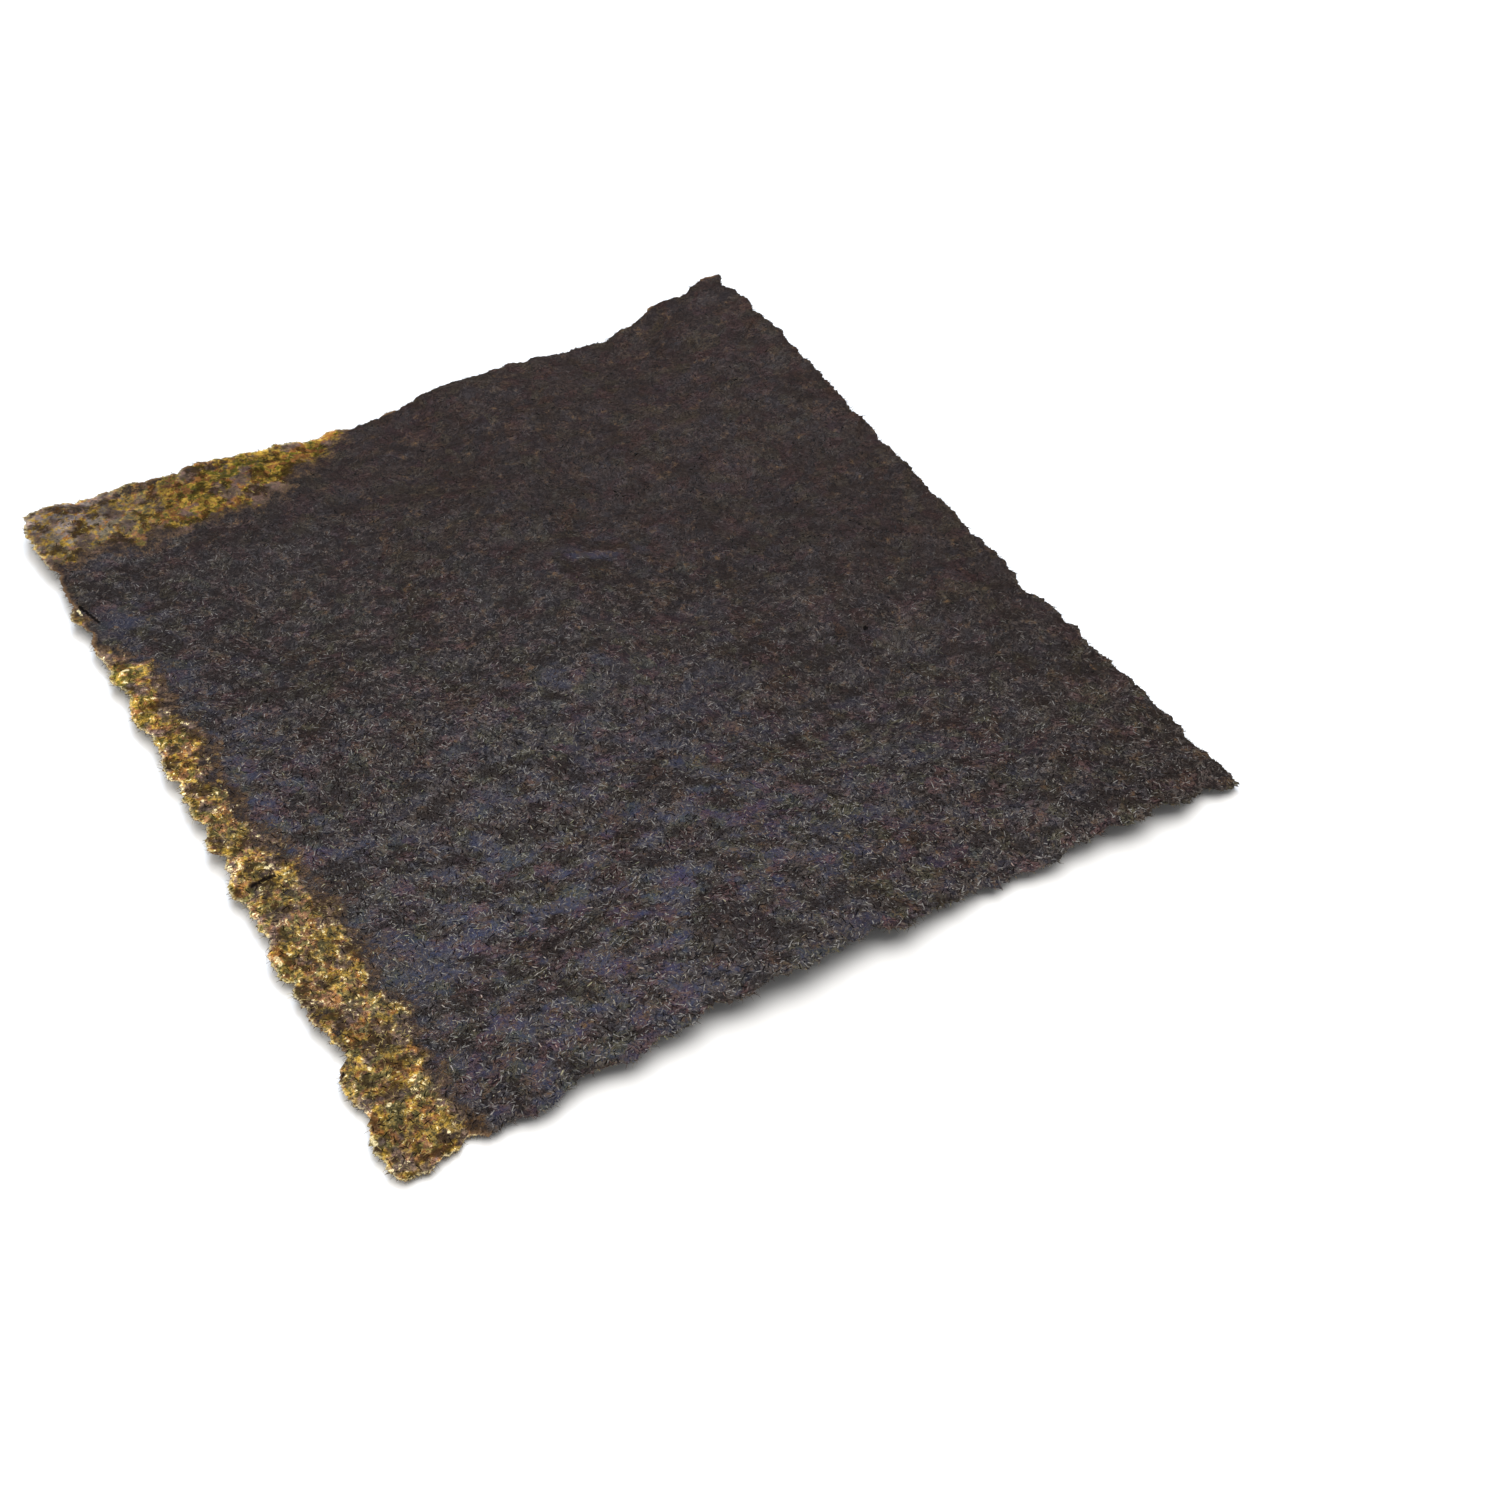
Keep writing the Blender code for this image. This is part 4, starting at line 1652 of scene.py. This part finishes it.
@dataclass(frozen=True)
class StrokeLayer:
    """One layer of strokes: the size of its cells, the stroke's half sizes in cells, a seed."""

    cell: float
    half_width: float
    half_length: float
    seed: float

    def lay(self, kit: EffectKit, place: Signal) -> Placed:
        """The strokes' group with this layer's values."""
        sizes = {"Half_Width": self.half_width, "Half_Length": self.half_length}
        return place.wire.group(kit.strokes, Place=place, Cell=self.cell, Seed=self.seed, **sizes)


@dataclass(frozen=True)
class ShredLayer:
    """One mosaic of shreds: the size of its cells, its grain's length and width, a seed."""

    cell: float
    long: float
    fine: float
    seed: float

    def lay(self, kit: EffectKit, place: Signal) -> Placed:
        """The mosaic's group with this layer's values."""
        sizes = {"Long": self.long, "Fine": self.fine}
        return place.wire.group(kit.mosaic, Place=place, Cell=self.cell, Seed=self.seed, **sizes)


@dataclass(frozen=True)
class Fold:
    """A noise that is longer along one direction: degrees from X, how much longer, the noise."""

    direction: float
    ratio: float
    look: Speckle

    def read(self, place: Signal) -> Signal:
        """Read the noise.

        Args:
            place: Coordinates.

        Returns:
            The noise at that place.
        """
        turn = (0.0, 0.0, math.radians(self.direction))
        terms = {"Vector": place, "Rotation": turn, "Scale": (self.ratio, 1.0, 1.0)}
        along = place.wire.add("ShaderNodeMapping", terms, vector_type="TEXTURE")["Vector"]
        return place.wire.noise(along, self.look)["Fac"]


@dataclass(frozen=True)
class LaverFinish:
    """Dry pressed laver: dark ground, pale strokes, tinted patches, painted sheen and shade, and margins
    painted golden with backlight.
    """

    kit: EffectKit
    palette: LaverPalette
    name: str = "dark_laver"
    roughness: float = 0.41
    specular: float = 0.09
    bump_depth: float = 0.00010
    bump_strength: float = 0.8
    clump: Speckle = Speckle(2.8 * MM, 3.0, 0.66)
    speck: Speckle = Speckle(0.45 * MM, 3.0, 0.6)
    falling: Fold = Fold(-50.0, 2.6, Speckle(4.6 * MM, 3.0, 0.60))
    rising: Fold = Fold(-4.0, 2.4, Speckle(4.0 * MM, 3.0, 0.60))
    wide: ShredLayer = ShredLayer(3.4 * MM, 2.2 * MM, 0.42 * MM, 7.0)
    narrow: ShredLayer = ShredLayer(1.9 * MM, 1.5 * MM, 0.29 * MM, 29.0)
    layers: tuple[StrokeLayer, ...] = (
        StrokeLayer(0.00105, 0.110, 0.52, 17.0),
        StrokeLayer(0.00190, 0.062, 0.50, 31.0),
    )
    # Short dark lines of painted shade in creases.
    crease_shades: StrokeLayer = StrokeLayer(0.00190, 0.085, 0.46, 61.0)
    tone_power: float = 2.8
    clump_crowd: Ramp = Ramp(0.38, 0.64, 0.32, 1.42)
    fold_crowd: Ramp = Ramp(0.095, 0.030, 0.60, 1.15)
    ground_grain: Ramp = Ramp(0.36, 0.62)
    shred_lift: float = 0.55
    painted_sheen_cloud: Ramp = Ramp(0.455, 0.575)
    painted_sheen_share: float = 0.85
    coarse_comb: Ramp = Ramp(0.51, 0.64)
    fine_comb: Ramp = Ramp(0.53, 0.65)
    hue_front: Ramp = Ramp(0.10, 1.60, 0.50, 0.70)
    umber_and_shade_cloud: Ramp = Ramp(0.490, 0.400)
    umber_and_shade_front: Ramp = Ramp(0.15, 1.30, 0.30, 0.52)
    # Painted light and shade of the folds: the colour is scaled by the fold noise.
    fold_shade: Ramp = Ramp(0.36, 0.64, 0.82, 1.18)
    speck_wander: float = 0.5
    clump_wander: float = 1.5
    shred_wander: float = 0.16
    glow_dimming_clump: Ramp = Ramp(0.36, 0.60, 1.0, 0.45)
    glow_dimming_share: float = 0.6
    backlit_edge: Ramp = Ramp(0.34, 0.84)
    fade_edge: Ramp = Ramp(0.08, 0.48)
    fade_comb: float = 0.7
    fade_clump: Ramp = Ramp(0.34, 0.66, 0.6, 1.5)
    clear_front: Ramp = Ramp(0.15, 1.60, 0.36, 1.05)
    grey_front: Ramp = Ramp(1.30, 0.70, 0.30, 1.0)
    glow_rim: Ramp = Ramp(0.10, 0.75, 0.0, 0.50)
    glow_front: Ramp = Ramp(0.15, 1.20, 0.70, 1.04)
    thread_share: float = 0.45
    lip_rim: Ramp = Ramp(0.50, 0.90, 0.0, 0.75)
    lip_backlit: Ramp = Ramp(0.06, 0.20)
    crease_shade_tone: Ramp = Ramp(0.30, 0.48)
    pore_speck: Ramp = Ramp(0.45, 0.33, 0.0, 0.62)
    dark_front: Ramp = Ramp(0.20, 1.60, 0.15, 1.0)
    dark_share: float = 0.92
    curl_grain: Ramp = Ramp(0.36, 0.58, 0.15, 0.92)
    edge_rim: Ramp = Ramp(0.62, 1.0)
    edge_speck: Ramp = Ramp(0.42, 0.60)
    edge_backlit: float = 0.60
    edge_dark: float = 0.03
    combed_gloss: float = 0.14
    cloud_gloss: float = 0.50
    dark_matt: float = 0.5
    backlit_matt: float = 0.22
    spot_matt: float = 0.30
    clump_relief: float = 1.4
    fine_relief: float = 0.9
    front_relief: float = 0.5
    least_relief: float = 0.35
    stroke_relief: float = 0.4
    dark_relief: float = 0.8

    def stroked(self, place: Signal) -> Signal:
        """Brightness of all layers of strokes together.

        Args:
            place: Object coordinates.

        Returns:
            The highest of the layers, each times its strokes' own tones.
        """
        total: Term = 0.0
        for layer in self.layers:
            laid = layer.lay(self.kit, place)
            tone = place.wire.math("POWER", laid["Tone"], self.tone_power)
            total = (laid["Mask"] * tone).highest(total)
        return total

    def make(self) -> bpy.types.Material:
        """Build the material.

        The dark body is a ground with a painted bluish sheen, combed with a lighter grain, tinted,
        darkened with umber and painted shade where the fold noise is low, and struck with pale strokes
        that are partly painted glints. Painted light and shade of the folds, and painted light towards the
        back right, scale it. It fades through brown into the margin painted golden with backlight. Painted
        highlights on curls, near-black painted shade in cracks, pores and pits, and the painted pale edge
        of the rim lie over both.

        Returns:
            The material.
        """
        finish = Finish(self.name)
        wire = finish.wire
        paint = self.palette
        place = wire.place()
        read = ("backlit", "rim", "painted_sheen", "glow_dimming")
        backlit_share, rim, painted_sheen, glow_dimming = (wire.value_of(name) for name in read)
        clump = wire.noise(place, self.clump)["Fac"]
        speck = wire.noise(place, self.speck)["Fac"]
        # Fold noise: it drives the painted sheen, the painted fold shade and the roughness.
        cloud = (self.falling.read(place) + self.rising.read(place)) * 0.5
        wide = self.wide.lay(self.kit, place)
        narrow = self.narrow.lay(self.kit, place)
        coarse = wide["Grain"]
        fine = narrow["Grain"]
        _, lift, drift = wide["Luck"].parts()
        front = wire.group(self.kit.front, Place=place)
        strength = front["Strength"]

        # Strokes are strongest to the front left, where they partly paint the glints of the fibres.
        crowd = clump.ramp(self.clump_crowd) * strength * abs(cloud - 0.5).ramp(self.fold_crowd)
        strokes = (self.stroked(place) * crowd).limited()
        combed = coarse.ramp(self.coarse_comb).highest(fine.ramp(self.fine_comb))
        lit = fine.ramp(self.ground_grain) * (lift * self.shred_lift + (1.0 - self.shred_lift))
        body = wire.mix(lit, paint.ground, paint.ground_light)
        # Painted bluish sheen where the sheen patches and the fold noise are high.
        body = wire.mix(painted_sheen * cloud.ramp(self.painted_sheen_cloud) * self.painted_sheen_share, body, paint.painted_sheen)
        body = wire.mix((combed * crowd).limited(), body, paint.grain)
        vivid = strength.ramp(self.hue_front)
        hues = wire.group(self.kit.hues, Place=place, Luck=wide["Luck"], Colour=body, Strength=vivid)
        # Umber and painted shade where the fold noise is low.
        umber_and_shade = cloud.ramp(self.umber_and_shade_cloud) * strength.ramp(self.umber_and_shade_front)
        body = wire.mix(umber_and_shade, hues["Colour"], paint.umber_and_shade)
        # Pale strokes, partly painted glints; then painted light and shade of the folds, and painted light
        # growing towards the back right, scale the colour.
        body = wire.mix(strokes, body, paint.stroke) * cloud.ramp(self.fold_shade) * front["Light"]

        # Share of the painted backlit margin, with a wandering border.
        wander = (speck - 0.5) * self.speck_wander + (clump - 0.5) * self.clump_wander + backlit_share
        wander = (drift - 0.5) * self.shred_wander + wander
        # Painted shade: patches that dim the margin's painted backlight glow.
        glow_dimmed = glow_dimming * clump.ramp(self.glow_dimming_clump) * self.glow_dimming_share
        backlit = (wander - glow_dimmed).ramp(self.backlit_edge)
        # Brown where the painted backlight glow fades into the body.
        brown = wire.mix(combed * self.fade_comb, paint.fade, paint.fade_light) * clump.ramp(self.fade_clump)
        colour = wire.mix(wander.ramp(self.fade_edge), body, brown)
        lip = rim.ramp(self.lip_rim) * backlit_share.ramp(self.lip_backlit)
        colour = wire.mix(lip, colour, paint.lip)
        # Painted backlight glow of the golden margin, brighter at the rim and towards the front left.
        golden = wire.group(
            self.kit.backlit,
            Place=place,
            Luck=narrow["Luck"],
            Coarse=coarse,
            Fine=fine,
            Clear=strength.ramp(self.clear_front),
            # Painted sheen turns the margin grey in the sheen patches.
            Grey=painted_sheen * strength.ramp(self.grey_front),
            Depth=backlit_share,
        )
        gilded = wire.mix(strokes * self.thread_share, golden["Colour"], paint.backlit_fibre)
        glow = rim.ramp(self.glow_rim) + strength.ramp(self.glow_front)
        colour = wire.mix(backlit, colour, gilded * glow)

        marks = wire.group(self.kit.pits, Place=place)
        # Painted highlights on the curls.
        colour = wire.mix(marks["Curl"] * fine.ramp(self.curl_grain), colour, paint.painted_glint_cream)
        # Near-black painted shade in creases, pores and pits.
        crease_shade = self.crease_shades.lay(self.kit, place)
        dark = (crease_shade["Mask"] * crease_shade["Tone"].ramp(self.crease_shade_tone)).highest(speck.ramp(self.pore_speck))
        dark = (dark * strength.ramp(self.dark_front)).highest(marks["Pit"])
        colour = wire.mix(dark * self.dark_share, colour, paint.crease_shade)
        # Painted pale glint along the rim, mostly in the golden margin.
        edge = rim.ramp(self.edge_rim) * speck.ramp(self.edge_speck)
        edge = edge * (backlit * self.edge_backlit + self.edge_dark)
        colour = wire.mix(edge, colour, paint.painted_glint_cream)

        gloss = front["Matt"] - combed * self.combed_gloss - (cloud - 0.5) * self.cloud_gloss
        gloss = gloss + dark * self.dark_matt + backlit * self.backlit_matt + self.roughness
        gloss = gloss + backlit * golden["Dark"] * self.spot_matt
        relief = coarse + clump * self.clump_relief + fine * self.fine_relief
        relief = relief * (strength * self.front_relief + self.least_relief)
        relief = relief + strokes * self.stroke_relief - dark * self.dark_relief
        normal = wire.bump(relief, self.bump_depth, self.bump_strength)
        surface = {"Base Color": colour, "Roughness": gloss, "Normal": normal}
        return finish.dress({**surface, "Specular IOR Level": self.specular})


@dataclass(frozen=True)
class ShredFinish:
    """Loose shreds and fibres: each has its own tone, dark to pale, painted golden with backlight in the
    margins.
    """

    kit: EffectKit
    name: str
    dark: Colour
    middle: Colour
    pale: Colour
    backlit_dark: Colour
    backlit_pale: Colour
    roughness: float = 0.51
    specular: float = 0.12
    grain: Speckle = Speckle(0.35 * MM, 2.0, 0.6)
    luck_factors: tuple[float, ...] = (3.7, 7.3, 11.9)
    hue_strength: float = 0.6
    middle_tone: Ramp = Ramp(0.10, 0.60)
    pale_tone: Ramp = Ramp(0.62, 1.00)
    gold_tone: Ramp = Ramp(0.45, 0.98)
    backlit_edge: Ramp = Ramp(0.35, 0.85)
    grain_light: Ramp = Ramp(0.30, 0.70, 0.70, 1.25)
    glow_dimming_share: float = 0.5
    tone_gloss: float = 0.12
    bump_depth: float = 0.00003
    bump_strength: float = 0.5

    def make(self) -> bpy.types.Material:
        """Build the material.

        Returns:
            The material.
        """
        finish = Finish(self.name)
        wire = finish.wire
        place = wire.place()
        tone = wire.value_of("tone")
        grain = wire.noise(place, self.grain)["Fac"]
        body = wire.mix(tone.ramp(self.middle_tone), self.dark, self.middle)
        body = wire.mix(tone.ramp(self.pale_tone), body, self.pale)
        luck = wire.joined(*(wire.math("FRACT", tone * factor) for factor in self.luck_factors))
        hues = wire.group(self.kit.hues, Place=place, Luck=luck, Colour=body, Strength=self.hue_strength)
        body = hues["Colour"] * wire.group(self.kit.front, Place=place)["Strength"]
        # Flecks and fibres in the margin take the painted backlight glow.
        golden = wire.mix(tone.ramp(self.gold_tone), self.backlit_dark, self.backlit_pale)
        # The same patches dim the painted backlight glow of flecks and fibres.
        backlit = wire.value_of("backlit") - wire.value_of("glow_dimming") * self.glow_dimming_share
        colour = wire.mix(backlit.ramp(self.backlit_edge), body, golden) * grain.ramp(self.grain_light)
        gloss = self.roughness - tone * self.tone_gloss
        normal = wire.bump(grain, self.bump_depth, self.bump_strength)
        surface = {"Base Color": colour, "Roughness": gloss, "Normal": normal}
        return finish.dress({**surface, "Specular IOR Level": self.specular})


@dataclass(frozen=True)
class FloorFinish:
    """Plain pale matt floor."""

    colour: Colour = (0.90, 0.90, 0.90, 1.0)
    clouded: float = 0.985
    cloud: Speckle = Speckle(0.15)
    roughness: float = 0.9
    specular: float = 0.2
    name: str = "pale_floor"

    def make(self) -> bpy.types.Material:
        """Build the material.

        Returns:
            The material.
        """
        finish = Finish(self.name)
        cloud = finish.wire.noise(finish.wire.place(), self.cloud)["Fac"]
        shade = (*(self.clouded * part for part in self.colour[:3]), 1.0)
        colour = finish.wire.mix(cloud, shade, self.colour)
        surface = {"Base Color": colour, "Roughness": self.roughness}
        return finish.dress({**surface, "Specular IOR Level": self.specular})


# ---- Studio ----


@dataclass(frozen=True)
class Softbox:
    """A square lamp that looks at the sheet: its direction and distance, size, power, colour."""

    name: str
    azimuth: float
    elevation: float
    distance: float
    size: float
    power: float
    colour: tuple[float, float, float]


@dataclass
class Studio:
    """Pale floor, soft light and the camera."""

    floor_half: float = 3.0
    floor_drop: float = 0.00003
    sky: tuple[float, float, float] = (1.0, 1.0, 1.0)
    sky_strength: float = 0.32
    softboxes: tuple[Softbox, ...] = (
        Softbox("sheen_box", 69.0, 54.0, 1.1, 0.36, 6.0, (0.62, 0.77, 1.0)),
        Softbox("top_box", -20.0, 82.0, 1.6, 1.6, 27.0, (1.0, 0.98, 0.95)),
        Softbox("left_box", 170.0, 50.0, 1.5, 0.9, 5.0, (1.0, 0.98, 0.94)),
    )
    azimuth: float = -120.36
    elevation: float = 45.34
    roll: float = -0.42
    distance: float = 0.4417
    target: tuple[float, float, float] = (0.0057, -0.0435, 0.0034)
    lens: float = 50.6
    shift_x: float = 0.0247
    sensor: float = 36.0
    nearest: float = 0.01

    def direction(self, azimuth: float, elevation: float) -> Vector:
        """Unit vector towards a place.

        Args:
            azimuth: Degrees from X, seen from above.
            elevation: Degrees above the floor.

        Returns:
            The vector.
        """
        turn = math.radians(azimuth)
        rise = math.radians(elevation)
        flat = math.cos(rise)
        return Vector((math.cos(turn) * flat, math.sin(turn) * flat, math.sin(rise)))

    def build_floor(self) -> None:
        """Lay the floor just under the leaf."""
        half = self.floor_half
        corners = [(-half, -half), (half, -half), (half, half), (-half, half)]
        mesh = bpy.data.meshes.new("floor")
        mesh.from_pydata([(x, y, -self.floor_drop) for x, y in corners], [], [(0, 1, 2, 3)])
        mesh.materials.append(FloorFinish().make())
        floor = bpy.data.objects.new("floor", mesh)
        bpy.context.scene.collection.objects.link(floor)

    def build_light(self) -> None:
        """Set the even surrounding light and hang the softboxes."""
        world = bpy.data.worlds.new("soft_surround")
        world.use_nodes = True
        background = world.node_tree.nodes["Background"]
        background.inputs["Color"].default_value = (*self.sky, 1.0)
        background.inputs["Strength"].default_value = self.sky_strength
        bpy.context.scene.world = world
        for box in self.softboxes:
            lamp = bpy.data.lights.new(box.name, "AREA")
            lamp.shape = "SQUARE"
            lamp.size = box.size
            lamp.energy = box.power
            lamp.color = box.colour
            holder = bpy.data.objects.new(box.name, lamp)
            away = self.direction(box.azimuth, box.elevation)
            holder.location = away * box.distance
            holder.rotation_euler = away.to_track_quat("Z", "Y").to_euler()
            bpy.context.scene.collection.objects.link(holder)
        bpy.context.scene.view_settings.view_transform = "Standard"

    def build_camera(self) -> None:
        """Stand the camera before the front left corner, turned by its small roll."""
        back = self.direction(self.azimuth, self.elevation)
        level = (-back).cross(Vector((0.0, 0.0, 1.0))).normalized()
        upright = level.cross(-back)
        turn = math.radians(self.roll)
        right = math.cos(turn) * level + math.sin(turn) * upright
        up = math.cos(turn) * upright - math.sin(turn) * level
        lens = bpy.data.cameras.new("camera")
        lens.lens = self.lens
        lens.sensor_width = self.sensor
        lens.shift_x = self.shift_x
        lens.clip_start = self.nearest
        camera = bpy.data.objects.new("camera", lens)
        turned = Matrix((right, up, back)).transposed().to_4x4()
        camera.matrix_world = Matrix.Translation(Vector(self.target) + back * self.distance) @ turned
        bpy.context.scene.collection.objects.link(camera)
        bpy.context.scene.camera = camera


def main() -> None:
    """Build the studio, then the leaf's pieces in order, and report each of them."""
    logging.basicConfig(level=logging.INFO, format="%(name)s %(message)s")
    studio = Studio()
    studio.build_camera()
    studio.build_floor()
    studio.build_light()
    palette = LaverPalette()
    kit = EffectKit(palette)
    laver = LaverFinish(kit, palette).make()
    shred = ShredFinish(
        kit,
        "pressed_shred",
        dark=(0.006, 0.004, 0.004, 1.0),
        middle=(0.028, 0.021, 0.017, 1.0),
        pale=(0.150, 0.130, 0.105, 1.0),
        # Painted backlight colours for the flecks in the golden margin.
        backlit_dark=(0.040, 0.026, 0.010, 1.0),
        backlit_pale=(0.260, 0.190, 0.050, 1.0),
    ).make()
    fibre = ShredFinish(
        kit,
        "frayed_fibre",
        dark=(0.022, 0.015, 0.012, 1.0),
        middle=(0.050, 0.038, 0.024, 1.0),
        pale=(0.170, 0.135, 0.075, 1.0),
        # Painted backlight colours for the fibres in the golden margin.
        backlit_dark=(0.065, 0.043, 0.015, 1.0),
        backlit_pale=(0.450, 0.350, 0.150, 1.0),
    ).make()
    form = LeafForm()
    body = LeafBody(form)
    body.build(laver)
    border = TornBorder(body, Fray())
    border.build(laver)
    SurfaceFlecks(form, Face.UPPER, seed=51).build(shred)
    SurfaceFlecks(form, Face.UNDER, seed=67).build(shred)
    RimFibres(border).build(fibre)


if __name__ == "__main__":
    main()
